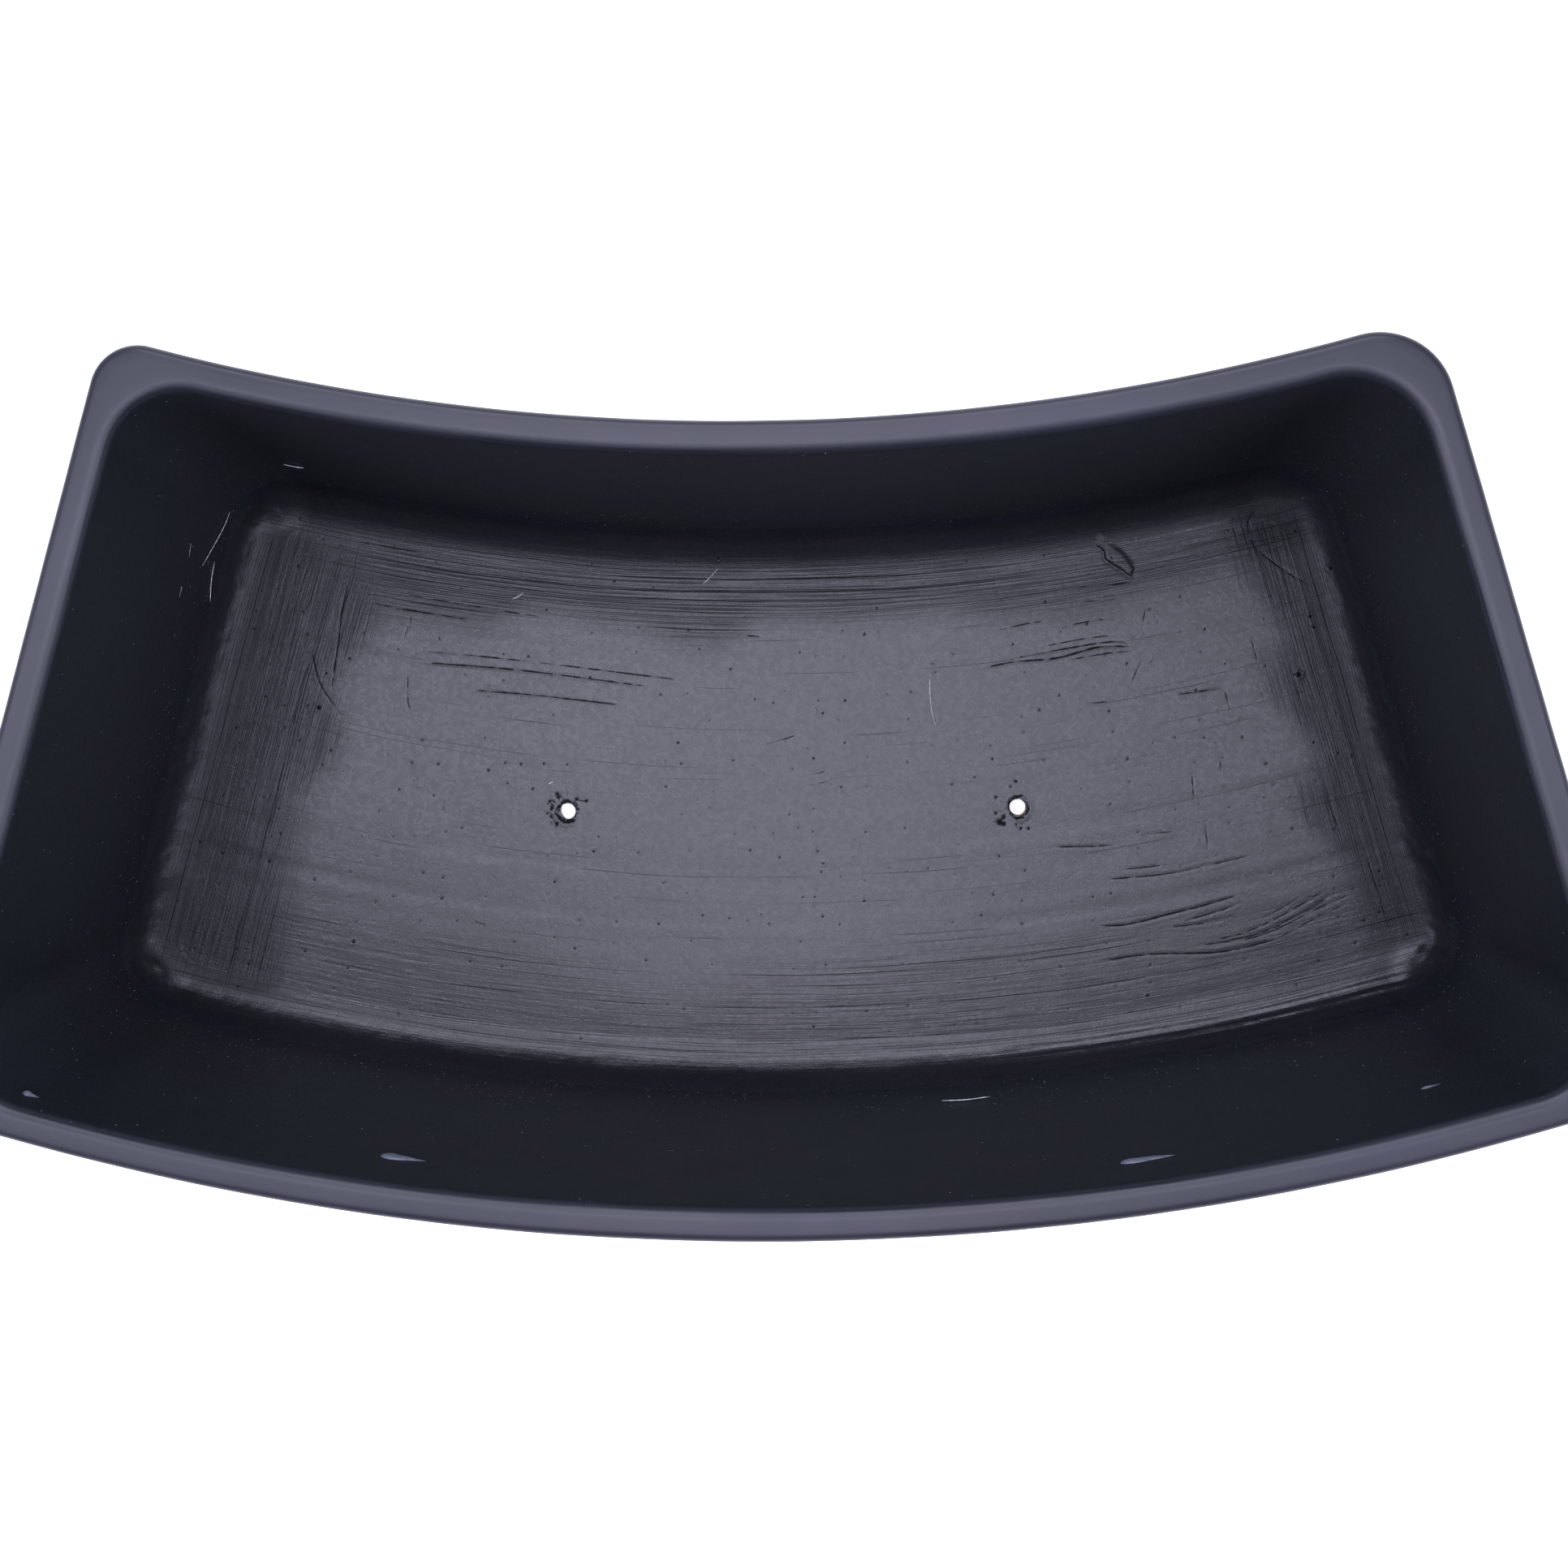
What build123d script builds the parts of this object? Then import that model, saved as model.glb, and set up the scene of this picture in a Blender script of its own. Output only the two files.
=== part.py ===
from build123d import *
import math
import os

# Bowed trough planter: a one-piece fibre-reinforced casting with a rounded
# rim, tapered walls, a coved floor and two open drain holes. A brushed sealer
# layer lies on the floor and cove, and four rubber pads stand it off the
# surface so that the holes can drain.
#
# Frame, millimetres: +Z up, +X along the length, -Y towards the convex side.
# The origin is the centre of the bounding box, on the surface that the pads
# stand on.

# ---- driving dimensions ----------------------------------------------------
RIM_T = 12.2              # rim band, outside to inside; with the plan below, 587 mm overall
PAD_H = 3.0               # stand-off of the rubber pads
SHELL_H = 185.0           # casting, base to rim top
FLOOR_T = 12.0            # casting's floor
FAR_R = 788.4             # concave long side, outer rim arc
NEAR_R = 951.9            # convex long side, outer rim arc
MID_DEPTH = 280.2         # outer rim, concave arc to convex arc at x = 0
SPLAY = 16.0              # end walls, degrees off square, wider at the convex side
END_HALF = 273.7          # end wall's half spacing at the middle of the depth
SLOPE_LONG = 0.104        # inward run per unit of depth, long walls
SLOPE_END = 0.0612        # inward run per unit of depth, end walls
R_OUT_FAR = (17.0, 26.0)  # outer corner radii, concave side: left, right
R_OUT_NEAR = (26.0, 26.0) # outer corner radii, convex side: left, right
R_IN_FAR = (26.0, 29.0)   # inner corner radii, concave side: left, right
R_IN_NEAR = (27.0, 27.0)  # inner corner radii, convex side: left, right
COVE_R = 20.0           # inside radius, wall to floor
RIM_R_IN = 5.0            # rim rounding towards the cavity
RIM_R_OUT = 3.2           # rim rounding towards the outside
BASE_R = 8.0              # outside rounding round the base
COAT_T = 0.8              # brushed sealer layer
COAT_TOP = 21.0         # height of the sealer's upper edge over the floor
HOLE_R = 4.0              # drain holes
HOLE_X = (-87.5, 93.5)    # hole centres along the length
HOLE_Y = 0.4              # hole centres, from the middle of the depth
PAD_R = 14.0              # rubber pads
PAD_X_NEAR, PAD_Y_NEAR = 203.0, -67.0
PAD_X_FAR, PAD_Y_FAR = 165.0, 100.0

# ---- plan outline ----------------------------------------------------------
# Local plan frame: y = 0 is the middle of the depth at x = 0.
TH = math.radians(SPLAY)
FAR_C = (0.0, MID_DEPTH / 2 + FAR_R)
NEAR_C = (0.0, NEAR_R - MID_DEPTH / 2)


def _meet(side, off, centre, radius, far):
    """Point on the end wall's line, moved in by off, at radius from centre."""
    d = (side * math.sin(TH), -math.cos(TH))
    n = (side * math.cos(TH), math.sin(TH))
    p = (side * END_HALF - off * n[0], -off * n[1])
    qx, qy = p[0] - centre[0], p[1] - centre[1]
    b = qx * d[0] + qy * d[1]
    c = qx * qx + qy * qy - radius * radius
    root = math.sqrt(b * b - c)
    s = min((-b + root, -b - root), key=abs) if far else max(-b + root, -b - root)
    return (p[0] + s * d[0], p[1] + s * d[1])


def _corner(side, far, in_long, in_end, r):
    """Fillet between a long arc and an end line: tangent points and mid point."""
    n = (side * math.cos(TH), math.sin(TH))
    if far:
        cc, ra = FAR_C, FAR_R + in_long
        c = _meet(side, in_end + r, cc, ra + r, True)
        k = ra / (ra + r)
    else:
        cc, ra = NEAR_C, NEAR_R - in_long
        c = _meet(side, in_end + r, cc, ra - r, False)
        k = ra / (ra - r)
    on_line = (c[0] + r * n[0], c[1] + r * n[1])
    on_arc = (cc[0] + (c[0] - cc[0]) * k, cc[1] + (c[1] - cc[1]) * k)
    mx = (on_line[0] + on_arc[0]) / 2 - c[0]
    my = (on_line[1] + on_arc[1]) / 2 - c[1]
    m = math.hypot(mx, my)
    return on_arc, (c[0] + mx * r / m, c[1] + my * r / m), on_line


def outline(in_long, in_end, r_far, r_near, z, y0):
    """Closed plan face at height z, inset from the outer rim outline."""
    nl = _corner(-1, False, in_long, in_end, r_near[0])
    nr = _corner(1, False, in_long, in_end, r_near[1])
    fl = _corner(-1, True, in_long, in_end, r_far[0])
    fr = _corner(1, True, in_long, in_end, r_far[1])
    near_mid = (0.0, -MID_DEPTH / 2 + in_long)
    far_mid = (0.0, MID_DEPTH / 2 - in_long)

    def v(p):
        return (p[0], p[1] + y0, z)

    edges = [
        Edge.make_three_point_arc(v(nl[0]), v(near_mid), v(nr[0])),
        Edge.make_three_point_arc(v(nr[0]), v(nr[1]), v(nr[2])),
        Edge.make_line(v(nr[2]), v(fr[2])),
        Edge.make_three_point_arc(v(fr[2]), v(fr[1]), v(fr[0])),
        Edge.make_three_point_arc(v(fr[0]), v(far_mid), v(fl[0])),
        Edge.make_three_point_arc(v(fl[0]), v(fl[1]), v(fl[2])),
        Edge.make_line(v(fl[2]), v(nl[2])),
        Edge.make_three_point_arc(v(nl[2]), v(nl[1]), v(nl[0])),
    ]
    return Face(Wire(edges))


def outer_face(z, y0=0.0):
    drop = PAD_H + SHELL_H - z
    return outline(SLOPE_LONG * drop, SLOPE_END * drop, R_OUT_FAR, R_OUT_NEAR, z, y0)


def inner_face(z, extra=0.0, y0=0.0):
    drop = PAD_H + SHELL_H - z
    grow = tuple(r - extra for r in R_IN_FAR)
    grow_n = tuple(r - extra for r in R_IN_NEAR)
    return outline(RIM_T + SLOPE_LONG * drop + extra, RIM_T + SLOPE_END * drop + extra,
                   grow, grow_n, z, y0)


# the rim outline fixes the length and the y centre of the frame
_rim = outer_face(PAD_H + SHELL_H).bounding_box()
Y0 = -(_rim.min.Y + _rim.max.Y) / 2
Z_BASE = PAD_H
Z_TOP = PAD_H + SHELL_H
Z_FLOOR = PAD_H + FLOOR_T


def cavity(extra, z_low, cove):
    """Space inside the casting: ruled walls, coved into a flat floor."""
    top = Z_TOP + 6.0
    body = Solid.make_loft([inner_face(z_low, extra, Y0).outer_wire(),
                            inner_face(top, extra, Y0).outer_wire()], ruled=True)
    low = body.edges().filter_by(lambda e: abs(e.center().Z - z_low) < 1e-3)
    return body.fillet(cove, low)


def at_level(shape, z):
    return shape.edges().filter_by(
        lambda e: abs(e.bounding_box().min.Z - z) < 1e-3 and abs(e.bounding_box().max.Z - z) < 1e-3)


def hole(x, z0, z1, r=HOLE_R):
    return Pos(x, HOLE_Y + Y0, (z0 + z1) / 2) * Cylinder(r, z1 - z0)


# ---- the casting -----------------------------------------------------------
outer = Solid.make_loft([outer_face(Z_BASE, Y0).outer_wire(),
                         outer_face(Z_TOP, Y0).outer_wire()], ruled=True)
outer = outer.fillet(BASE_R, at_level(outer, Z_BASE))
inner = cavity(0.0, Z_FLOOR, COVE_R)
shell = outer - inner
for hx in HOLE_X:
    shell = shell - hole(hx, Z_BASE - 5, Z_FLOOR + 5)
shell = shell.solid() if hasattr(shell, "solid") else shell

rim_edges = at_level(shell, Z_TOP)
inner_len = inner_face(Z_TOP, 0.0, Y0).outer_wire().length


def is_inner(edge):
    """An edge of the rim's inside loop lies within the outer outline."""
    p = edge @ 0.5
    probe = outline(RIM_T / 2, RIM_T / 2, R_OUT_FAR, R_OUT_NEAR, Z_TOP, Y0)
    return probe.is_inside(Vector(p.X, p.Y, Z_TOP))


edges_in = [e for e in rim_edges if is_inner(e)]
edges_out = [e for e in rim_edges if not is_inner(e)]
shell = shell.fillet(RIM_R_IN, edges_in)
edges_out = [e for e in at_level(shell, Z_TOP) if not is_inner(e)]
shell = shell.fillet(RIM_R_OUT, edges_out)

# ---- the brushed sealer layer ---------------------------------------------
slab_z = Z_FLOOR + COAT_TOP
slab = Pos(0, 0, (Z_FLOOR - 10 + slab_z) / 2) * Box(800, 600, slab_z - Z_FLOOR + 10)
coat = (cavity(0.0, Z_FLOOR, COVE_R) & slab) - cavity(COAT_T, Z_FLOOR + COAT_T, COVE_R - COAT_T)
for hx in HOLE_X:
    coat = coat - hole(hx, Z_FLOOR - 5, Z_FLOOR + 5)
coat = coat.solid() if hasattr(coat, "solid") else coat

# ---- rubber pads -----------------------------------------------------------
pads = {}
for name, px, py in (
    ("foot_pad_near_left", -PAD_X_NEAR, PAD_Y_NEAR),
    ("foot_pad_near_right", PAD_X_NEAR, PAD_Y_NEAR),
    ("foot_pad_far_left", -PAD_X_FAR, PAD_Y_FAR),
    ("foot_pad_far_right", PAD_X_FAR, PAD_Y_FAR),
):
    pad = Cylinder(PAD_R, PAD_H)
    pad = fillet(pad.edges().filter_by(lambda e: e.center().Z < 0), 0.8)
    pads[name] = Pos(px, py + Y0, PAD_H / 2) * pad

# ---- one STEP per piece ----------------------------------------------------
nodes = {"trough_shell": shell, "floor_sealer_coat": coat, **pads}
os.makedirs("parts", exist_ok=True)
for node, shape in nodes.items():
    shape.label = node
    export_step(shape, os.path.join("parts", node + ".step"))

if __name__ == "__main__":
    for node, shape in nodes.items():
        bb = shape.bounding_box()
        print(node, shape.is_valid, round(shape.volume / 1000, 2), "cm3",
              [round(v, 2) for v in (bb.min.X, bb.min.Y, bb.min.Z, bb.max.X, bb.max.Y, bb.max.Z)])
    print("Y0", round(Y0, 4))
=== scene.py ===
import math
import bpy
import numpy as np
from mathutils import Matrix, Vector


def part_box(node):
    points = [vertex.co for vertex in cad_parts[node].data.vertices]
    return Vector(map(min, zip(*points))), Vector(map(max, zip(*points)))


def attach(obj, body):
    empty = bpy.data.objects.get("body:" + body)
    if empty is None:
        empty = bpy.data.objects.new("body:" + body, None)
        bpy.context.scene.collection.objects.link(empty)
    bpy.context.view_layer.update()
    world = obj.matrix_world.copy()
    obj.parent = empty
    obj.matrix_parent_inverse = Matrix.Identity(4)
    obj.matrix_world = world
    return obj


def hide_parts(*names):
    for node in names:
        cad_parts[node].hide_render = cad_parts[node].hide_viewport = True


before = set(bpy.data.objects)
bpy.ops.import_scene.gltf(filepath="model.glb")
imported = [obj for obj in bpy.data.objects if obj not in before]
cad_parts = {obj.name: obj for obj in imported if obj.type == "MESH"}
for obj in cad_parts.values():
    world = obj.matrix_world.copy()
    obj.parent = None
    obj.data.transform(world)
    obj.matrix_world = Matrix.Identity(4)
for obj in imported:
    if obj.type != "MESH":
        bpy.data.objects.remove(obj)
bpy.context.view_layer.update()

LO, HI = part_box("trough_shell")
FLO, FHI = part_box("floor_sealer_coat")

# ---------------------------------------------------------------------------
# The trough's geometry, in millimetres, in the frame of the CAD model.
# ---------------------------------------------------------------------------
MID_DEPTH, FAR_R, NEAR_R, END_HALF = 280.2, 788.4, 951.9, 273.7
TH = math.radians(16.0)
SL, SE = 0.104, 0.0612                       # wall slopes: long sides, ends
RIM_T, COVE_R, RIM_IN, RIM_OUT, BASE_R = 12.2, 20.0, 5.0, 3.2, 8.0
R_OUT_F, R_OUT_N = (17.0, 26.0), (26.0, 26.0)
R_IN_F, R_IN_N = (26.0, 29.0), (27.0, 27.0)
Z_BASE = LO[2] * 1000
Z_TOP = HI[2] * 1000
Z_FLOOR = FLO[2] * 1000
COAT_T, COAT_TOP, HOLE_R = 0.8, 21.0, 4.0
Y0 = -14.2737
FAR_C = (0.0, MID_DEPTH / 2 + FAR_R)
NEAR_C = (0.0, NEAR_R - MID_DEPTH / 2)
HOLES = ((-87.5, 0.4 + Y0), (93.5, 0.4 + Y0))
DY = 3.8                                     # the marks on the floor are listed from a line this much nearer
DL, DE = math.atan(SL), math.atan(SE)


# ---- deterministic noise ----------------------------------------------------
def hash01(ix, iy, seed):
    h = (ix.astype(np.int64) * 374761393 + iy.astype(np.int64) * 668265263 + seed * 974634777) & 0xFFFFFFFF
    h = ((h ^ (h >> 13)) * 1274126177) & 0xFFFFFFFF
    h = ((h ^ (h >> 15)) * 2246822519) & 0xFFFFFFFF
    return ((h ^ (h >> 16)) & 0xFFFFFF) / 16777215.0


def vnoise(x, y, seed):
    """Smooth value noise, -1 to 1, one cell per unit."""
    ix, iy = np.floor(x), np.floor(y)
    fx, fy = x - ix, y - iy
    fx = fx * fx * fx * (fx * (fx * 6 - 15) + 10)
    fy = fy * fy * fy * (fy * (fy * 6 - 15) + 10)
    a, b = hash01(ix, iy, seed), hash01(ix + 1, iy, seed)
    c, d = hash01(ix, iy + 1, seed), hash01(ix + 1, iy + 1, seed)
    return 2 * ((a + (b - a) * fx) * (1 - fy) + (c + (d - c) * fx) * fy) - 1


def fbm(x, y, seed, octaves=3, gain=0.5):
    out, amp, tot = 0.0, 1.0, 0.0
    for k in range(octaves):
        out = out + amp * vnoise(x * 2 ** k + 17.3 * k, y * 2 ** k - 9.1 * k, seed + 31 * k)
        tot += amp
        amp *= gain
    return out / tot


def sstep(a, b, x):
    t = np.clip((x - a) / (b - a), 0, 1)
    return t * t * (3 - 2 * t)


# ---- plan outline -----------------------------------------------------------
def _meet(side, off, centre, radius, far):
    d = (side * math.sin(TH), -math.cos(TH))
    n = (side * math.cos(TH), math.sin(TH))
    p = (side * END_HALF - off * n[0], -off * n[1])
    qx, qy = p[0] - centre[0], p[1] - centre[1]
    b = qx * d[0] + qy * d[1]
    root = math.sqrt(b * b - (qx * qx + qy * qy - radius * radius))
    s = min((-b + root, -b - root), key=abs) if far else max(-b + root, -b - root)
    return (p[0] + s * d[0], p[1] + s * d[1])


def _corner(side, far, il, ie, r):
    n = (side * math.cos(TH), math.sin(TH))
    if far:
        cc, ra = FAR_C, FAR_R + il
        c = _meet(side, ie + r, cc, ra + r, True)
        k = ra / (ra + r)
    else:
        cc, ra = NEAR_C, NEAR_R - il
        c = _meet(side, ie + r, cc, ra - r, False)
        k = ra / (ra - r)
    return c, (cc[0] + (c[0] - cc[0]) * k, cc[1] + (c[1] - cc[1]) * k), (c[0] + r * n[0], c[1] + r * n[1])


def ring(il, ie, rf, rn, counts, z_long, z_end=None):
    """One closed loop round the trough, inset il on the long walls and ie on the ends: points and outward normals."""
    n1, nc, ne = counts
    z_end = z_long if z_end is None else z_end
    P, N, W = [], [], []

    def ang(c, p):
        return math.atan2(p[1] - c[1], p[0] - c[0])

    def arc(c, pa, pb, r, n, sgn, w0, w1):
        a0 = ang(c, pa)
        a1 = ang(c, pb)
        while a1 - a0 > math.pi:
            a1 -= 2 * math.pi
        while a1 - a0 < -math.pi:
            a1 += 2 * math.pi
        f = np.arange(n) / n
        t = a0 + (a1 - a0) * f
        u = np.stack([np.cos(t), np.sin(t)], 1)
        P.append(np.array(c) + r * u)
        N.append(sgn * u)
        W.append(w0 + (w1 - w0) * f)

    def line(pa, pb, side):
        t = np.arange(ne)[:, None] / ne
        P.append(np.array(pa) + (np.array(pb) - np.array(pa)) * t)
        N.append(np.tile([side * math.cos(TH), math.sin(TH)], (ne, 1)))
        W.append(np.zeros(ne))

    NL, NR = _corner(-1, False, il, ie, rn[0]), _corner(1, False, il, ie, rn[1])
    FL, FR = _corner(-1, True, il, ie, rf[0]), _corner(1, True, il, ie, rf[1])
    arc(NEAR_C, NL[1], NR[1], NEAR_R - il, n1, 1, 1, 1)
    arc(NR[0], NR[1], NR[2], rn[1], nc, 1, 1, 0)
    line(NR[2], FR[2], 1)
    arc(FR[0], FR[2], FR[1], rf[1], nc, 1, 0, 1)
    arc(FAR_C, FR[1], FL[1], FAR_R + il, n1, -1, 1, 1)
    arc(FL[0], FL[1], FL[2], rf[0], nc, 1, 1, 0)
    line(FL[2], NL[2], -1)
    arc(NL[0], NL[2], NL[1], rn[0], nc, 1, 0, 1)
    P, N, W = np.concatenate(P), np.concatenate(N), np.concatenate(W)
    z = z_end + (z_long - z_end) * W
    return np.column_stack([P[:, 0], P[:, 1] + Y0, z]), N, W


def cove_d(h, delta, r=COVE_R):
    """How far the cove stands in from the wall's foot line, at height h over the floor."""
    dc = r * (1 - math.sin(delta)) / math.cos(delta)
    ht = r * (1 - math.sin(delta))
    if h >= ht:
        return -h * math.tan(delta)
    return dc - math.sqrt(r * r - (r - h) ** 2)


# ---- mesh helpers -----------------------------------------------------------
def make_mesh(name, verts, quads, tris=(), attrs=None, uv=None):
    """A mesh object in metres from vertices in millimetres."""
    verts = np.asarray(verts, float) / 1000.0
    quads = np.asarray(quads, np.int64).reshape(-1, 4)
    tris = np.asarray(tris, np.int64).reshape(-1, 3)
    me = bpy.data.meshes.new(name)
    me.vertices.add(len(verts))
    me.vertices.foreach_set("co", verts.astype(np.float32).ravel())
    idx = np.concatenate([quads.ravel(), tris.ravel()])
    start = np.concatenate([np.arange(len(quads)) * 4, len(quads) * 4 + np.arange(len(tris)) * 3])
    me.loops.add(len(idx))
    me.loops.foreach_set("vertex_index", idx.astype(np.int32))
    me.polygons.add(len(start))
    me.polygons.foreach_set("loop_start", start.astype(np.int32))
    me.update(calc_edges=True)
    me.validate()
    me.polygons.foreach_set("use_smooth", np.ones(len(me.polygons), bool))
    for key, val in (attrs or {}).items():
        val = np.asarray(val, np.float32)
        if val.ndim == 1:
            a = me.attributes.new(key, "FLOAT", "POINT")
            a.data.foreach_set("value", val)
        else:
            a = me.attributes.new(key, "FLOAT_VECTOR", "POINT")
            a.data.foreach_set("vector", val.ravel())
    if uv is not None:
        lay = me.uv_layers.new(name="OFBake")
        vi = np.empty(len(me.loops), np.int32)
        me.loops.foreach_get("vertex_index", vi)
        lay.data.foreach_set("uv", np.asarray(uv, np.float32)[vi].ravel())
    me.update()
    ob = bpy.data.objects.new(name, me)
    bpy.context.scene.collection.objects.link(ob)
    return ob


class Build:
    """Collects vertices and faces."""

    def __init__(self):
        self.v, self.q, self.t, self.n = [], [], [], 0

    def add(self, pts):
        pts = np.asarray(pts, float)
        i = self.n + np.arange(len(pts))
        self.v.append(pts)
        self.n += len(pts)
        return i

    def band(self, a, b, closed=True):
        """Quads between two loops of the same length; the normal is along (next point) x (a to b)."""
        if closed:
            a2, b2 = np.roll(a, -1), np.roll(b, -1)
        else:
            a, a2, b, b2 = a[:-1], a[1:], b[:-1], b[1:]
        self.q.append(np.stack([a, a2, b2, b], 1))

    def bridge(self, fine, coarse, ratio, flip=False):
        """Triangles between a closed fine loop and a coarse one with ratio times fewer points."""
        n = len(coarse)
        tris = []
        for k in range(n):
            c0, c1 = coarse[k], coarse[(k + 1) % n]
            for i in range(ratio):
                tris.append((fine[(k * ratio + i) % len(fine)], fine[(k * ratio + i + 1) % len(fine)], c0))
            tris.append((fine[((k + 1) * ratio) % len(fine)], c1, c0))
        t = np.array(tris)
        self.t.append(t[:, ::-1] if flip else t)

    def verts(self):
        return np.concatenate(self.v)

    def quads(self):
        return np.concatenate(self.q)


def patch(bld, loop_idx, loop_pts, counts, holes, up=True, cells=12, rings=6, z=None, hole_r=None):
    """Fills a closed loop with a grid that shares its points, with a round hole at each of holes. Returns the loops round the holes."""
    n1, nc, ne = counts
    total = len(loop_idx)
    h = nc // 2
    s_near, s_side = n1 + nc, ne + nc
    order = (np.arange(total) - h) % total
    li, lp = loop_idx[order], loop_pts[order]
    near = np.arange(0, s_near + 1)
    right = np.arange(s_near, s_near + s_side + 1)
    far = np.arange(s_near + s_side, 2 * s_near + s_side + 1)[::-1]
    left = np.append(np.arange(2 * s_near + s_side, total), 0)[::-1]
    U, V = s_near + 1, s_side + 1
    u = np.linspace(0, 1, U)[:, None, None]
    v = np.linspace(0, 1, V)[None, :, None]
    c0, c1, d0, d1 = lp[near][:, None], lp[far][:, None], lp[left][None], lp[right][None]
    G = (1 - v) * c0 + v * c1 + (1 - u) * d0 + u * d1 - (
        (1 - u) * (1 - v) * lp[near[0]] + u * (1 - v) * lp[near[-1]] + (1 - u) * v * lp[far[0]] + u * v * lp[far[-1]])
    I = -np.ones((U, V), np.int64)
    I[:, 0], I[:, -1], I[0, :], I[-1, :] = li[near], li[far], li[left], li[right]
    inner = G[1:-1, 1:-1]
    I[1:-1, 1:-1] = bld.add(inner.reshape(-1, 3)).reshape(U - 2, V - 2)
    keep = np.ones((U - 1, V - 1), bool)
    out = []
    for k, (hx, hy) in enumerate(holes):
        d = (G[:, :, 0] - hx) ** 2 + (G[:, :, 1] - hy) ** 2
        iu, iv = np.unravel_index(np.argmin(d), d.shape)
        a, b = iu - cells // 2, iv - cells // 2
        keep[a:a + cells, b:b + cells] = False
        path = [(a + i, b) for i in range(cells)] + [(a + cells, b + j) for j in range(cells)]
        path += [(a + cells - i, b + cells) for i in range(cells)] + [(a, b + cells - j) for j in range(cells)]
        bi = np.array([I[p] for p in path])
        bp = np.array([G[p] for p in path])
        t = np.arctan2(bp[:, 1] - hy, bp[:, 0] - hx)
        rad = HOLE_R if hole_r is None else hole_r(k, t)
        cp = np.column_stack([hx + rad * np.cos(t), hy + rad * np.sin(t), np.full(len(t), bp[0, 2])])
        prev = bi
        for r in range(1, rings + 1):
            f = 1 - (1 - r / rings) ** 1.5
            cur = bld.add(bp + (cp - bp) * f)
            if up:
                bld.band(prev, cur)
            else:
                bld.band(cur, prev)
            prev = cur
        out.append((prev, cp, t))
    a, b, c, d = I[:-1, :-1], I[1:, :-1], I[1:, 1:], I[:-1, 1:]
    q = np.stack([a, b, c, d], -1)[keep]
    bld.q.append(q if up else q[:, ::-1])
    # points inside the removed blocks aren't used: drop them later
    return out


def drop_unused(verts, quads, *arrays, tris=None):
    used = np.zeros(len(verts), bool)
    used[quads.ravel()] = True
    new = np.cumsum(used) - 1
    out = (verts[used], new[quads], [a[used] for a in arrays])
    return out if tris is None else out + (new[tris],)


# ---------------------------------------------------------------------------
# The casting: one closed mesh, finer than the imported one, with a hand-made
# casting's slight unevenness in its walls and rim.
# ---------------------------------------------------------------------------
CS = (236, 18, 112)


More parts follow.
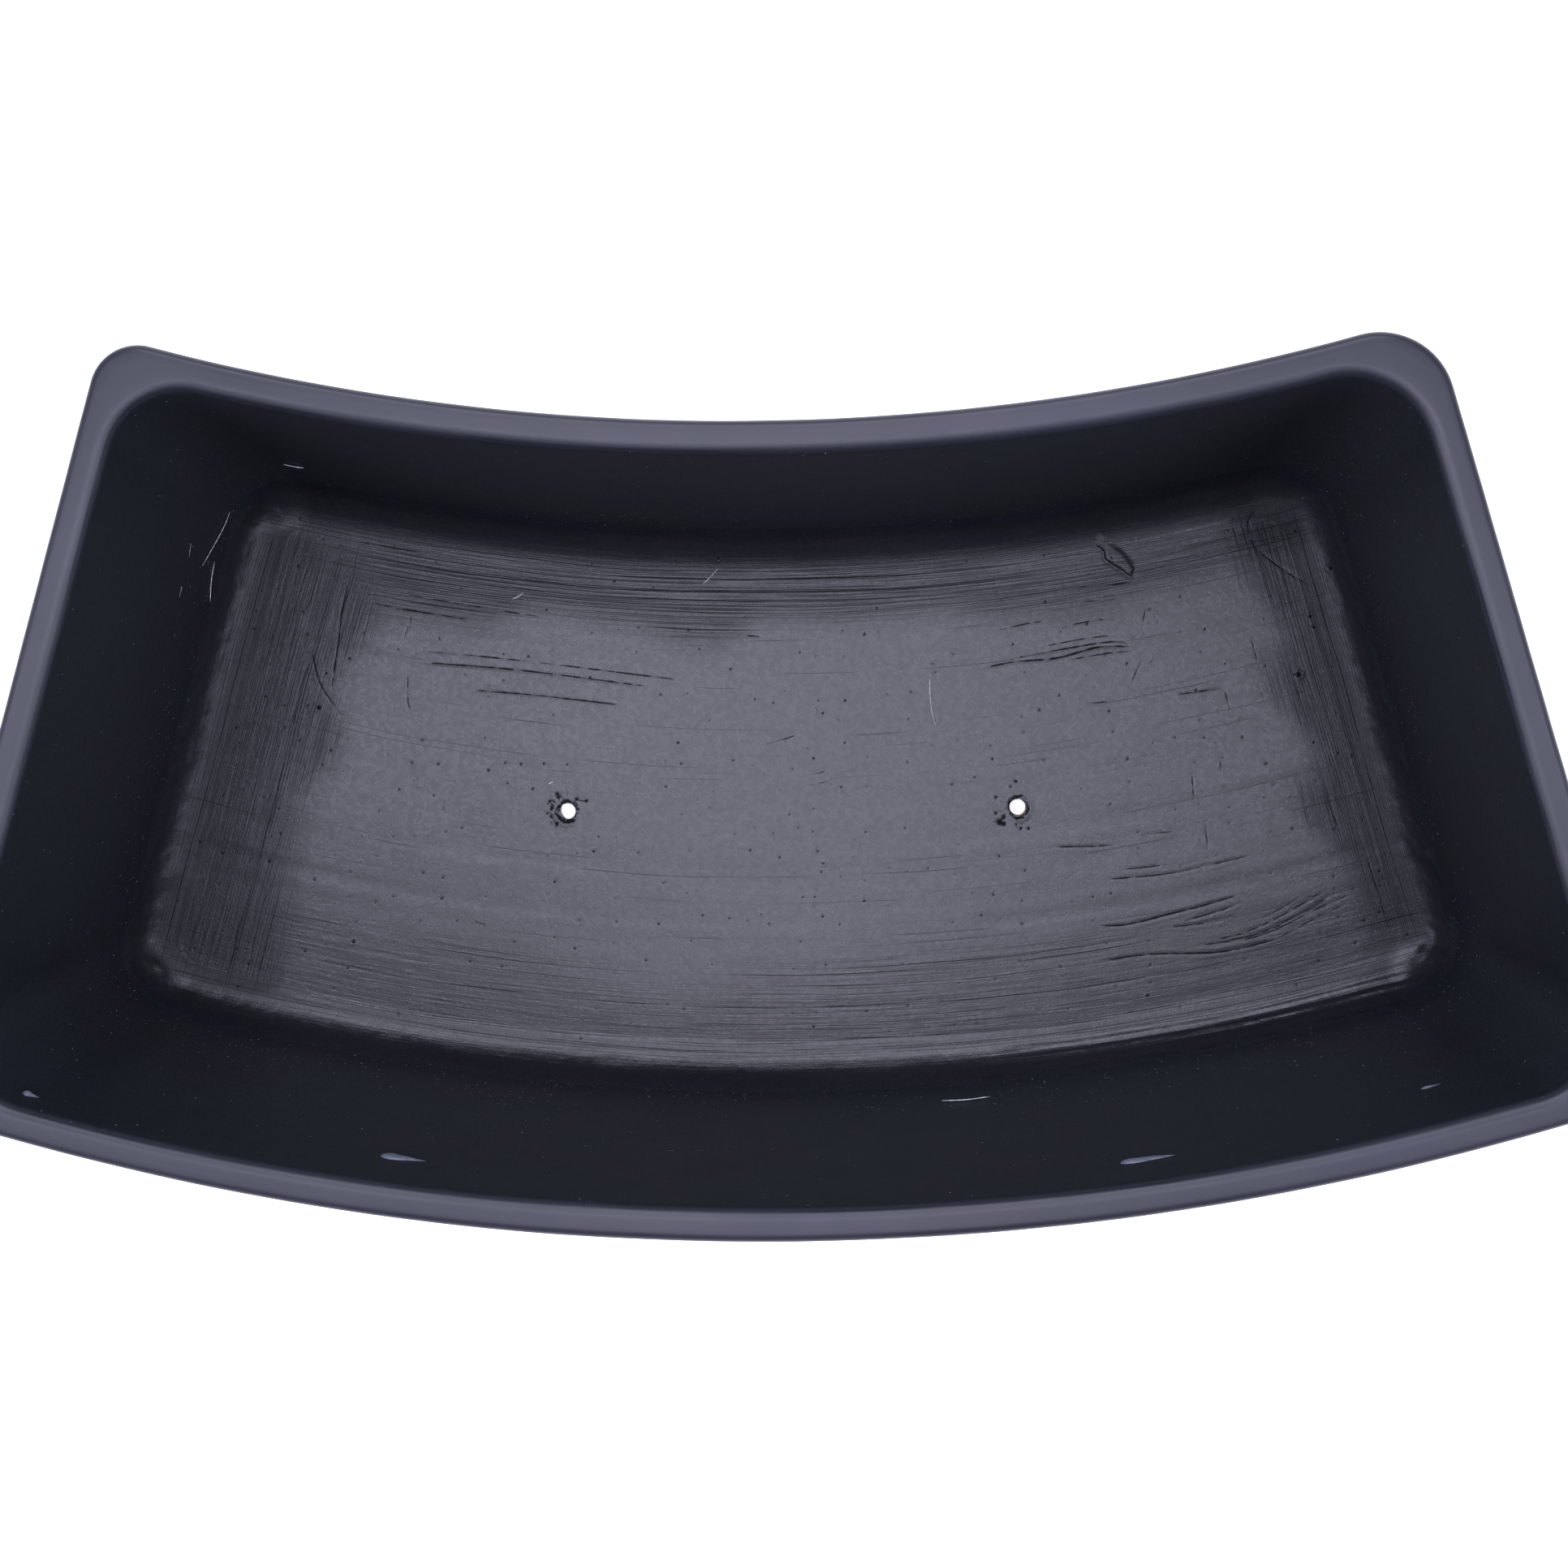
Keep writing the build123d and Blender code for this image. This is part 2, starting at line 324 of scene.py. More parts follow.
def shell_rings():
    """(il, ie, rf, rn, z_long, z_end, tag) from the inner floor up, over the rim and down to the base."""
    out = []

    def r_in(il, ie, z, grow):
        return tuple(r + grow for r in R_IN_F), tuple(r + grow for r in R_IN_N)

    foot_l, foot_e = RIM_T + SL * (Z_TOP - Z_FLOOR), RIM_T + SE * (Z_TOP - Z_FLOOR)
    for f in np.linspace(0, 1, 13):
        hgt = COVE_R * (1 - math.cos(f * math.radians(84)))
        dl, de = cove_d(hgt, DL), cove_d(hgt, DE)
        shrink = -(de + hgt * math.tan(DE)) if hgt < COVE_R * (1 - math.sin(DE)) else 0.0
        rf, rn = r_in(0, 0, 0, shrink)
        out.append((foot_l + dl, foot_e + de, rf, rn, Z_FLOOR + hgt, Z_FLOOR + hgt, 1))
    z_wall_top = Z_TOP - RIM_IN * (1 - math.sin(DL))
    for z in np.linspace(Z_FLOOR + COVE_R, z_wall_top - 1.0, 68):
        out.append((RIM_T + SL * (Z_TOP - z), RIM_T + SE * (Z_TOP - z), R_IN_F, R_IN_N, z, z, 1))
    ci_l = RIM_T + SL * RIM_IN - RIM_IN / math.cos(DL)
    ci_e = RIM_T + SE * RIM_IN - RIM_IN / math.cos(DE)
    for f in np.linspace(0, 1, 10):
        al, ae = DL + f * (math.pi / 2 - DL), DE + f * (math.pi / 2 - DE)
        il, ie = ci_l + RIM_IN * math.cos(al), ci_e + RIM_IN * math.cos(ae)
        g = RIM_IN * (1 - math.cos(ae))
        rf, rn = r_in(0, 0, 0, g)
        out.append((il, ie, rf, rn, Z_TOP - RIM_IN * (1 - math.sin(al)), Z_TOP - RIM_IN * (1 - math.sin(ae)), 1 - f))
    co_l, co_e = RIM_OUT * (1 + math.sin(DL)) / math.cos(DL), RIM_OUT * (1 + math.sin(DE)) / math.cos(DE)
    # the flat band between the two roundings
    a = out[-1]
    for f in (0.33, 0.67):
        mix = lambda p, q: p + (q - p) * f
        rf = tuple(mix(p, q - RIM_OUT) for p, q in zip(a[2], R_OUT_F))
        rn = tuple(mix(p, q - RIM_OUT) for p, q in zip(a[3], R_OUT_N))
        out.append((mix(a[0], co_l), mix(a[1], co_e), rf, rn, Z_TOP, Z_TOP, 0))
    for f in np.linspace(0, 1, 8):
        bl, be = math.pi / 2 - f * (math.pi / 2 + DL), math.pi / 2 - f * (math.pi / 2 + DE)
        s = RIM_OUT * (1 - math.cos(be))
        out.append((co_l - RIM_OUT * math.cos(bl), co_e - RIM_OUT * math.cos(be),
                    tuple(r - s for r in R_OUT_F), tuple(r - s for r in R_OUT_N),
                    Z_TOP - RIM_OUT * (1 - math.sin(bl)), Z_TOP - RIM_OUT * (1 - math.sin(be)), 0))
    zc = Z_BASE + BASE_R
    for z in np.linspace(Z_TOP - RIM_OUT - 3, zc + 1.0, 56):
        out.append((SL * (Z_TOP - z), SE * (Z_TOP - z), R_OUT_F, R_OUT_N, z, z, 0))
    cb_l, cb_e = SL * (Z_TOP - zc) + BASE_R / math.cos(DL), SE * (Z_TOP - zc) + BASE_R / math.cos(DE)
    for f in np.linspace(0, 1, 9):
        gl, ge = DL + f * (math.pi / 2 - DL), DE + f * (math.pi / 2 - DE)
        s = BASE_R * (1 - math.cos(ge))
        out.append((cb_l - BASE_R * math.cos(gl), cb_e - BASE_R * math.cos(ge),
                    tuple(r - s for r in R_OUT_F), tuple(r - s for r in R_OUT_N),
                    zc - BASE_R * math.sin(gl), zc - BASE_R * math.sin(ge), 0))
    return out


def arclen_coords(n_ring):
    """How far along the loop each point is, in millimetres, taken at the rim."""
    P, _, _ = ring(6, 6, (20, 22), (22, 22), n_ring, 0)
    d = np.linalg.norm(np.diff(np.vstack([P, P[:1]]), axis=0), axis=1)
    return np.concatenate([[0], np.cumsum(d)[:-1]])


def build_shell():
    b = Build()
    rows, tags, loops, prev = shell_rings(), [], [], None
    s = arclen_coords(CS)
    per = s[-1] + s[1]
    ang = s / per * 2 * math.pi
    run = 0.0
    last = None
    for il, ie, rf, rn, zl, ze, tag in rows:
        P, N, W = ring(il, ie, rf, rn, CS, zl, ze)
        if last is not None:
            run += float(np.median(np.linalg.norm(P - last, axis=1)))
        last = P
        # slight unevenness: long soft waves, none at the base; periodic in s
        wx, wy = np.cos(ang) * per / (2 * math.pi), np.sin(ang) * per / (2 * math.pi)
        k = sstep(Z_FLOOR + 2, Z_FLOOR + 40, P[:, 2]) if tag > 0.5 else sstep(Z_BASE + 6, Z_BASE + 30, P[:, 2])
        w = fbm(wx / 55 + run / 130, wy / 55 - run / 110, 5, 3)
        fine = fbm(wx / 14 + run / 21, wy / 14 - run / 19, 9, 2)
        disp = k * (0.34 * w + 0.07 * fine)
        if tag < 0.5:
            disp = -0.25 - 0.9 * np.abs(disp) * 0.5 + 0.25 * (1 - k)  # outside: only inwards
            disp = np.minimum(disp, 0.0) * k
            P[:, :2] += N * disp[:, None]
        else:
            P[:, :2] += N * disp[:, None] * 0.8
        near_top = sstep(Z_TOP - 6, Z_TOP, P[:, 2])
        P[:, 2] -= near_top * (0.12 + 0.12 * fbm(wx / 38, wy / 38, 21, 2))
        idx = b.add(P)
        loops.append(idx)
        tags.append(np.full(len(idx), tag, float))
        if prev is not None:
            b.band(idx, prev)
        prev = idx
    n_ring = b.n
    V = b.verts()
    top = patch(b, loops[0], V[loops[0]], CS, HOLES, up=True, cells=10, rings=5)
    bot = patch(b, loops[-1], V[loops[-1]], CS, HOLES, up=False, cells=10, rings=5)
    for (ti, tp, tt), (bi, bp, bt) in zip(top, bot):
        # both blocks are laid out alike, so the loops pair up by angle
        k = np.argmin(np.abs((bt - tt[0] + math.pi) % (2 * math.pi) - math.pi))
        bi, bp = np.roll(bi, -k), np.roll(bp, -k, 0)
        prev, pp = ti, tp
        for f in (0.08, 0.3, 0.55, 0.8, 0.95):
            q = tp + (bp - tp) * f
            # the drill's slight wander
            hc = q[:, :2].mean(0)
            q[:, :2] = hc + (q[:, :2] - hc) * (1 + 0.010 * vnoise(tt * 2.2 + 7, np.full(len(tt), f * 6), 71)[:, None])
            cur = b.add(q)
            b.band(prev, cur)
            prev = cur
        b.band(prev, bi)
    verts, quads = b.verts(), b.quads()
    zone = np.zeros(len(verts))
    tg = np.concatenate(tags)
    zone[:len(tg)] = tg
    verts, quads, (zone,) = drop_unused(verts, quads, zone)
    return verts, quads, zone


verts, quads, zone = build_shell()
under = sstep(Z_BASE + 3.5, Z_BASE + 0.5, verts[:, 2])
shell = make_mesh("trough_casting", verts, quads, attrs={
    "inside": zone, "under": under, "height": np.clip((verts[:, 2] - Z_FLOOR) / 100.0, 0, 2)})
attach(shell, "root")
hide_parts("trough_shell")

# ---------------------------------------------------------------------------
# The brushed sealer layer on the floor and the cove.
# ---------------------------------------------------------------------------
CC = ((760, 32, 344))
FOOT_L, FOOT_E = RIM_T + SL * (Z_TOP - Z_FLOOR), RIM_T + SE * (Z_TOP - Z_FLOOR)


def brush_coords(x, y):
    """Distances from the four foot lines and places along them, in millimetres."""
    yl = y - Y0
    rf = np.hypot(x, yl - FAR_C[1])
    rn = np.hypot(x, yl - NEAR_C[1])
    df = rf - (FAR_R + FOOT_L)
    sf = np.arctan2(x, FAR_C[1] - yl) * (FAR_R + FOOT_L)
    dn = (NEAR_R - FOOT_L) - rn
    sn = np.arctan2(x, NEAR_C[1] - yl) * (NEAR_R - FOOT_L)
    n = (math.cos(TH), math.sin(TH))
    dr = -((x - END_HALF) * n[0] + yl * n[1]) - FOOT_E
    dl = -((-x - END_HALF) * n[0] + yl * n[1]) - FOOT_E
    sr = (x - END_HALF) * math.sin(TH) - yl * math.cos(TH)
    s_l = (-x - END_HALF) * math.sin(TH) - yl * math.cos(TH)
    return df, sf, dn, sn, dl, s_l, dr, sr


# scratches: points (x, y), half width, depth; a positive depth cuts in
SCRATCHES = [
    ([[-147.2, 43.1], [-106.6, 39.4], [-54.6, 32.3]], 0.38, 0.30, 0.75),
    ([[-147.8, 47.7], [-106.2, 43.3], [-41.5, 34.7]], 0.30, 0.20, 0.55),
    ([[-128.4, 31.8], [-99.9, 29.2], [-65.5, 24.9]], 0.36, 0.30, 0.85),
    ([[-158.3, 65.4], [-141.9, 62.6], [-123.6, 59.5]], 0.36, 0.28, 0.80),
    ([[-151.6, 70.2], [-110.4, 62.9], [-92.8, 60.1]], 0.28, 0.20, 0.60),
    ([[-149.1, 62.7], [-153.0, 51.6]], 0.28, 0.20, 0.8),
    ([[-151.3, 38.9], [-151.5, 27.1], [-149.3, 22.2]], 0.30, 0.22, 0.9),
    ([[-19.4, 52.7], [-4.1, 51.2]], 0.26, 0.2, 0.7),
    ([[145.4, 62.2], [143.3, 52.8]], 0.25, 0.16, 0.7),
    ([[143.7, 41.6], [140.0, 33.1], [138.1, 26.8]], 0.25, 0.18, 0.8),
    ([[149.0, 41.6], [144.1, 37.1]], 0.22, 0.15, 0.8),
    ([[156.4, 26.5], [166.3, 27.8], [174.5, 28.9], [177.0, 29.8]], 0.34, 0.26, 0.7),
    ([[174.9, 30.2], [177.0, 26.0], [178.6, 18.2]], 0.30, 0.22, 0.6),
    ([[181.6, 74.6], [185.6, 64.3]], 0.26, 0.18, 0.8),
    ([[186.4, 50.7], [189.6, 39.0], [191.2, 34.2]], 0.24, 0.14, 0.7),
    ([[78.0, 37.6], [92.5, 40.4], [108.7, 41.6], [118.6, 44.0], [126.8, 46.0], [140.0, 46.2]], 0.50, 0.34, 0.85),
    ([[90.0, 41.4], [119.4, 46.5], [133.4, 48.1], [138.7, 46.7]], 0.34, 0.26, 0.85),
    ([[112.0, 40.5], [128.0, 43.2], [141.0, 44.4]], 0.26, 0.20, 0.8),
    ([[115.3, 69.9], [133.4, 71.0], [148.2, 73.5]], 0.26, 0.18, 0.7),
    ([[116.2, 63.8], [136.9, 65.2]], 0.24, 0.15, 0.6),
    ([[108.8, 53.2], [121.0, 56.0], [134.3, 57.8]], 0.26, 0.17, 0.7),
    ([[120.9, 23.3], [135.8, 24.7]], 0.22, 0.13, 0.6),
    ([[125.3, -65.8], [137.8, -65.2], [153.3, -61.4], [168.8, -57.6], [180.7, -54.0]], 0.48, 0.32, 1.0),
    ([[158.0, -64.7], [174.0, -60.0], [184.4, -56.4]], 0.32, 0.25, 0.85),
    ([[150.0, -67.0], [171.0, -64.5], [181.0, -61.6]], 0.26, 0.2, 0.6),
    ([[127.6, -47.2], [150.3, -45.4], [165.8, -42.6], [186.3, -37.9]], 0.30, 0.22, 0.9),
    ([[132.7, -43.5], [155.5, -41.2]], 0.25, 0.16, 0.8),
    ([[105.0, -33.9], [124.5, -33.7], [133.3, -33.2]], 0.34, 0.26, 0.8),
    ([[141.0, -29.6], [156.6, -28.1]], 0.26, 0.18, 0.7),
    ([[165.3, -29.7], [169.5, -38.3]], 0.32, 0.26, 0.7),
    ([[162.8, 1.1], [164.1, -20.1]], 0.24, 0.16, 0.6),
    ([[167.9, -21.7], [169.8, -39.0]], 0.26, 0.2, 0.8),
    ([[174.4, 2.6], [174.7, -5.5]], 0.25, 0.18, 0.8),
    ([[165.7, -72.3], [182.3, -69.4], [198.8, -62.1], [218.3, -50.8]], 0.26, 0.12, 0.85),
    ([[163.0, -74.3], [184.3, -71.0], [202.0, -63.5], [221.0, -52.5]], 0.30, 0.2, 0.8),
    ([[172.0, -74.2], [192.0, -69.5], [212.0, -60.0], [228.0, -53.0]], 0.28, 0.18, 0.7),
    ([[124.3, -80.5], [145.1, -77.4], [174.0, -76.6], [196.6, -71.6]], 0.40, 0.26, 0.9),
    ([[-174.8, 76.7], [-177.7, 63.0], [-179.4, 51.3], [-182.4, 32.3]], 0.32, 0.24, 1.0),
    ([[-190.5, 49.9], [-186.8, 34.5], [-176.8, 19.8]], 0.30, 0.2, 0.9),
    ([[-167.8, 67.9], [-151.7, 64.0]], 0.30, 0.2, 0.7),
    ([[192.6, 101.8], [187.7, 98.6], [185.7, 94.2], [186.5, 89.3], [188.4, 85.1], [191.8, 81.9],
      [199.1, 76.4], [204.1, 73.0], [208.2, 70.6], [211.0, 67.6]], 0.24, 0.12, 0.9),
    ([[180.7, 101.3], [179.7, 96.8], [180.2, 91.8], [182.0, 87.8], [186.1, 83.2]], 0.17, 0.08, 0.8),
    ([[-126.0, -62.0], [-121.0, -63.5]], 0.3, 0.2, 0.9),
    ([[10.5, 28.0], [16.0, 17.5]], 0.2, 0.08, 0.6),
    ([[-92.1, -10.5], [-90.6, -11.3], [-89.3, -12.4]], 0.32, 0.16, 1.0),
    ([[-85.8, -11.7], [-84.0, -12.8], [-82.0, -13.5], [-79.1, -14.2]], 0.24, 0.10, 0.9),
    ([[-82.9, -16.2], [-83.6, -14.9], [-84.7, -13.8], [-86.4, -13.0]], 0.30, 0.12, 1.0),
    ([[-95.6, -15.9], [-95.7, -18.2], [-95.0, -21.0], [-92.9, -23.9], [-89.6, -25.7]], 0.16, 0.06, 0.8),
    ([[82.3, -23.3], [85.2, -23.8], [87.9, -25.1], [90.2, -25.8]], 0.24, 0.12, 1.0),
    ([[98.5, -22.2], [100.1, -23.3], [101.8, -24.5]], 0.15, 0.06, 0.8),
    ([[84.6, -20.3], [87.4, -20.9], [88.6, -20.5]], 0.20, 0.08, 0.9),
    ([[168.0, -73.4], [188.0, -69.9], [206.0, -62.0], [223.5, -51.6]], 0.20, 0.06, 0.8),
    ([[176.0, -76.8], [195.0, -72.0], [214.0, -62.4], [229.0, -55.6]], 0.20, 0.06, 0.8),
    ([[181.0, -66.4], [196.0, -60.6], [210.0, -52.0]], 0.17, 0.05, 0.8),
    ([[99.0, 45.5], [121.0, 49.4], [136.0, 51.0]], 0.20, 0.06, 0.8),
    ([[82.0, 52.0], [97.0, 55.5], [110.0, 57.2]], 0.19, 0.06, 0.8),
    ([[-10.0, 8.0], [2.0, 11.0], [9.0, 14.5]], 0.20, 0.05, 0.8),
    ([[4.0, -9.0], [16.0, -7.0], [24.0, -3.5]], 0.19, 0.05, 0.8),
    ([[6.0, -5.0], [15.0, -3.0], [21.0, -0.5]], 0.17, 0.05, 0.8),
]
FLAKE = np.array([[125.7, 92.1], [126.7, 91.8], [130.2, 89.1], [136.0, 85.0], [139.2, 81.2], [140.8, 78.7], [139.8, 74.2],
                  [138.5, 74.5], [136.0, 76.5], [132.7, 78.6], [130.5, 80.1], [129.2, 81.4], [128.9, 84.0], [127.3, 85.6],
                  [125.6, 86.6], [125.4, 90.1]])
PITS = [(206.0, 34.0, 1.7, 0.8), (217.9, 76.1, 1.5, 0.7), (15.4, -39.7, 1.0, 0.7), (-175.3, -69.8, 1.3, 0.5),
        (-25.2, 83.3, 1.3, 0.6), (210.5, 57.2, 1.2, 0.6), (-187.8, 25.2, 1.8, 0.4), (212.0, 53.0, 1.1, 0.6),
        (145.2, -94.0, 1.2, 0.6), (-10.0, -60.0, 0.8, 0.5), (60.0, 40.0, 0.7, 0.5)]
rng = np.random.default_rng(20531)


def seg_dist(x, y, pts):
    """Distance to a polyline, the place along it from 0 to 1, and the polyline's length."""
    pts = np.asarray(pts, float)
    L = np.concatenate([[0], np.cumsum(np.linalg.norm(np.diff(pts, axis=0), axis=1))])
    best = np.full(x.shape, 1e9)
    along = np.zeros(x.shape)
    for k in range(len(pts) - 1):
        a, d = pts[k], pts[k + 1] - pts[k]
        t = np.clip(((x - a[0]) * d[0] + (y - a[1]) * d[1]) / (d @ d), 0, 1)
        r = np.hypot(x - a[0] - t * d[0], y - a[1] - t * d[1])
        m = r < best
        best = np.where(m, r, best)
        along = np.where(m, (L[k] + t * (L[k + 1] - L[k])) / L[-1], along)
    return best, along, L[-1]


def smooth_line(pts, n=6):
    """A Catmull-Rom line through the points."""
    p = np.asarray(pts, float)
    if len(p) < 3:
        return p
    q = np.vstack([2 * p[0] - p[1], p, 2 * p[-1] - p[-2]])
    out = []
    for k in range(1, len(q) - 2):
        t = np.linspace(0, 1, n, endpoint=False)[:, None]
        out.append(0.5 * (2 * q[k] + (q[k + 1] - q[k - 1]) * t + (2 * q[k - 1] - 5 * q[k] + 4 * q[k + 1] - q[k + 2]) * t ** 2
                          + (3 * q[k] - q[k - 1] - 3 * q[k + 1] + q[k + 2]) * t ** 3))
    return np.vstack(out + [p[-1:]])


def in_poly(x, y, poly):
    """Signed distance to a polygon, positive inside."""
    d = np.full(x.shape, 1e9)
    inside = np.zeros(x.shape, bool)
    for a, b in zip(poly, np.roll(poly, -1, 0)):
        e = b - a
        t = np.clip(((x - a[0]) * e[0] + (y - a[1]) * e[1]) / (e @ e), 0, 1)
        d = np.minimum(d, np.hypot(x - a[0] - t * e[0], y - a[1] - t * e[1]))
        cross = ((a[1] > y) != (b[1] > y)) & (x < (b[0] - a[0]) * (y - a[1]) / (b[1] - a[1] + 1e-12) + a[0])
        inside ^= cross
    return np.where(inside, d, -d)


def scratch_channels(x, y, n_ch=4):
    """Signed distance to the nearest scratch and its local half width, in channels whose scratches keep apart, so a shader draws them finer than the mesh."""
    y = y - DY
    lines = [(smooth_line(pts), w, cont) for pts, w, _, cont in SCRATCHES]
    flake = np.vstack([FLAKE, FLAKE[:1]])
    # the lifted flake's outline, heavier along its lifted edge: the material draws it dark, a painted shadow under the
    # lift
    lines.append((flake[5:17], 0.36, 1.0))
    lines.append((flake[0:7], 0.10, 0.9))
    boxes = [(l.min(0) - 3, l.max(0) + 3) for l, _, _ in lines]
    used, chan = [[] for _ in range(n_ch)], []
    for k, (lo, hi) in enumerate(boxes):
        best = None
        for c in range(n_ch):
            if all((lo > boxes[j][1]).any() or (hi < boxes[j][0]).any() for j in used[c]):
                best = c
                break
        if best is None:
            best = min(range(n_ch), key=lambda c: sum(not ((lo > boxes[j][1]).any() or (hi < boxes[j][0]).any()) for j in used[c]))
        used[best].append(k)
        chan.append(best)
    out = [np.column_stack([np.full(x.shape, 50.0), np.zeros(x.shape), np.zeros(x.shape)]) for _ in range(n_ch)]
    for k, (line, w, cont) in enumerate(lines):
        lo, hi = boxes[k]
        m = np.nonzero((x > lo[0]) & (x < hi[0]) & (y > lo[1]) & (y < hi[1]))[0]
        if not len(m):
            continue
        xx, yy = x[m], y[m]
        best = np.full(len(m), 1e9)
        sgn, along = np.ones(len(m)), np.zeros(len(m))
        seg = np.linalg.norm(np.diff(line, axis=0), axis=1)
        L = np.concatenate([[0], np.cumsum(seg)])
        for i in range(len(line) - 1):
            p, d = line[i], line[i + 1] - line[i]
            t = np.clip(((xx - p[0]) * d[0] + (yy - p[1]) * d[1]) / (d @ d), 0, 1)
            r = np.hypot(xx - p[0] - t * d[0], yy - p[1] - t * d[1])
            c = d[0] * (yy - p[1]) - d[1] * (xx - p[0])
            q = r < best - 1e-6
            best = np.where(q, r, best)
            sgn = np.where(q, np.where(c >= 0, 1.0, -1.0), sgn)
            along = np.where(q, L[i] + t * seg[i], along)
        seed = 700 + 13 * k
        wid = 0.60 * w * (0.80 + 0.55 * vnoise(along / 2.3, along * 0 + 5, seed)) * np.clip(np.minimum(along, L[-1] - along) / min(9.0, 0.45 * L[-1]), 0, 1) ** 0.7
        if cont < 0.99:
            wid = wid * (0.30 + 0.70 * sstep(-1.10 * cont, -1.10 * cont + 0.55, vnoise(along / 4.0, along * 0 + 9, seed + 1)))
        wid = np.where(best < 2.4, wid, 0.0)
        o = out[chan[k]]
        nearer = best < np.abs(o[m, 0])
        o[m[nearer], 0] = (best * sgn)[nearer]
        o[m[nearer], 1] = wid[nearer]
    return out


def coat_relief(x, y, hgt):
    """The layer's relief in millimetres, and its masks."""
    df, sf, dn, sn, dl, s_l, dr, sr = brush_coords(x, y)
    h = np.zeros_like(x)
    # g: pits, hole rings, scuffs and dents that the material paints dark in colour, as painted shade in the hollows
    g = np.zeros_like(x)
    ym = y - DY
    # the lie of the casting under it
    h += 0.16 * fbm(x / 48, y / 48, 3, 3) + 0.035 * fbm(x / 11, y / 11, 8, 2)
    wob = 3.0 * vnoise(sf / 60, df / 60, 14)
    patchy = 0.5 + 0.5 * fbm(sf / 38, df / 9, 41, 2)

    def streaks(s, d, seed, fine=1.0):
        a = vnoise(d / (2.2 * fine), s / 60.0, seed)
        b = vnoise(d / (4.6 * fine), s / 80.0, seed + 1)
        c = vnoise(d / (1.5 * fine), s / 46.0, seed + 2)
        return 0.45 * a + 0.35 * b + 0.35 * c

    m_far = sstep(-30, 4, df) * (1 - sstep(28, 48, df + 7 * vnoise(sf / 30, df * 0 + 3, 15) + wob))
    dense = sstep(6, 16, df) * (1 - sstep(34, 44, df + 6 * vnoise(sf / 26, df * 0, 16)))
    dense *= 0.25 + 0.75 * sstep(-200, -120, sf) * (1 - sstep(20, 110, sf))
    m_near = sstep(-30, 2, dn) * (1 - sstep(30, 56, dn + 8 * vnoise(sn / 42, dn * 0, 17)))
    m_left = sstep(-30, 2, dl) * (1 - sstep(44, 70, dl + 9 * vnoise(s_l / 26, dl * 0, 18)))
    m_right = sstep(-30, 2, dr) * (1 - sstep(26, 46, dr + 6 * vnoise(s_l / 22, dr * 0, 19)))
    # the ends' strokes run out before the long sides' do
    m_left *= sstep(6, 30, df + 8 * vnoise(x / 15, y / 15, 61)) * sstep(0, 26, dn)
    m_right *= sstep(0, 24, df) * sstep(8, 34, dn)
    m_far *= 1 - 0.8 * m_left
    m_near *= 1 - 0.7 * m_left
    st = streaks(sf + wob, df, 101) * m_far * (0.55 + 0.45 * patchy) + streaks(sn, dn, 131, 1.25) * m_near * 0.8
    st += streaks(s_l, dl, 161, 1.1) * m_left * 0.8 + streaks(sr, dr, 191, 1.1) * m_right * 0.8
    h += 0.045 * st
    # wide soft sweeps of the brush across the open floor
    h += 0.05 * vnoise(dn / 5.0, sn / 120, 303) * sstep(30, 60, dn) * sstep(20, 60, df)
    # cove: thick uneven sealer, mottled dabs
    cv = sstep(0.2, 5, hgt) * (1 - sstep(15, 20, hgt))
    end_near = np.minimum(dl, dr) < np.minimum(df, dn)
    s_any = np.where(end_near, np.where(dl < dr, s_l, sr + 500), np.where(df < dn, sf + 2000, sn + 4000))
    endk = 0.45 + 0.55 * sstep(20, -6, np.minimum(dl, dr))
    h += cv * endk * (0.36 * fbm(s_any / 15, hgt / 11, 51, 3) + 0.20 * fbm(s_any / 4.4, hgt / 3.2, 57, 2))
    # lumps in the cove corners
    for lx, ly, lr, la in ((262, -76, 15, 1.6), (254, -92, 9, 0.8), (-258, -80, 14, 1.3), (-246, -96, 10, 0.7), (-216, 108, 11, 0.9),
                           (219, 101, 12, 0.6), (-247, -40, 9, 0.5), (-238, 20, 12, 0.4), (256, -36, 9, 0.5)):
        e = np.exp(-((x - lx) ** 2 + (ym - ly) ** 2) / (2 * (lr * 0.5) ** 2))
        h += la * e * (0.75 + 0.45 * fbm(x / 5, y / 5, 77, 2))
    # foot ridges along the near cove on the right
    rid = sstep(60, 130, sn) * (1 - sstep(250, 266, sn)) * sstep(-14.0, -9, dn) * (1 - sstep(6, 12, dn))
    rr = np.sin(dn * 2 * math.pi / 3.4 + 1.3 * vnoise(sn / 45, dn * 0, 66)) * (0.7 + 0.4 * vnoise(sn / 20, dn / 2, 67))
    h += rid * 0.20 * rr
    # the soft furrow and lips of the wider scratches; their fine line is drawn by the material, dark as painted shade
    for pts, w, dep, cont in SCRATCHES:
        line = smooth_line(pts)
        lo, hi = line.min(0) - 4, line.max(0) + 4
        m = (x > lo[0]) & (x < hi[0]) & (ym > lo[1]) & (ym < hi[1])
        if not m.any():
            continue
        r, t, L = seg_dist(x[m], ym[m], line)
        wv = max(w, 0.62) * (0.5 + 0.5 * np.clip(np.minimum(t, 1 - t) * L / 8, 0, 1))
        cut = np.exp(-(r / wv) ** 2) * np.clip(np.minimum(t, 1 - t) * L / 5, 0.1, 1)
        lip = np.exp(-((r - 2.2 * wv) / (0.9 * wv)) ** 2) * np.clip(np.minimum(t, 1 - t) * L / 5, 0.1, 1)
        h[m] += -0.22 * dep * cut * min(1.0, w / 0.4) + 0.10 * dep * lip
    # the lobe dragged by the brush in the far right corner
    lobe = in_poly(x, ym, np.array([[192.6, 104], [186.5, 96], [187.4, 88], [193, 81], [204.1, 73.0], [211.0, 67.6], [223, 72], [226, 92], [214, 106]]))
    h += 0.07 * sstep(0, 2.2, lobe)
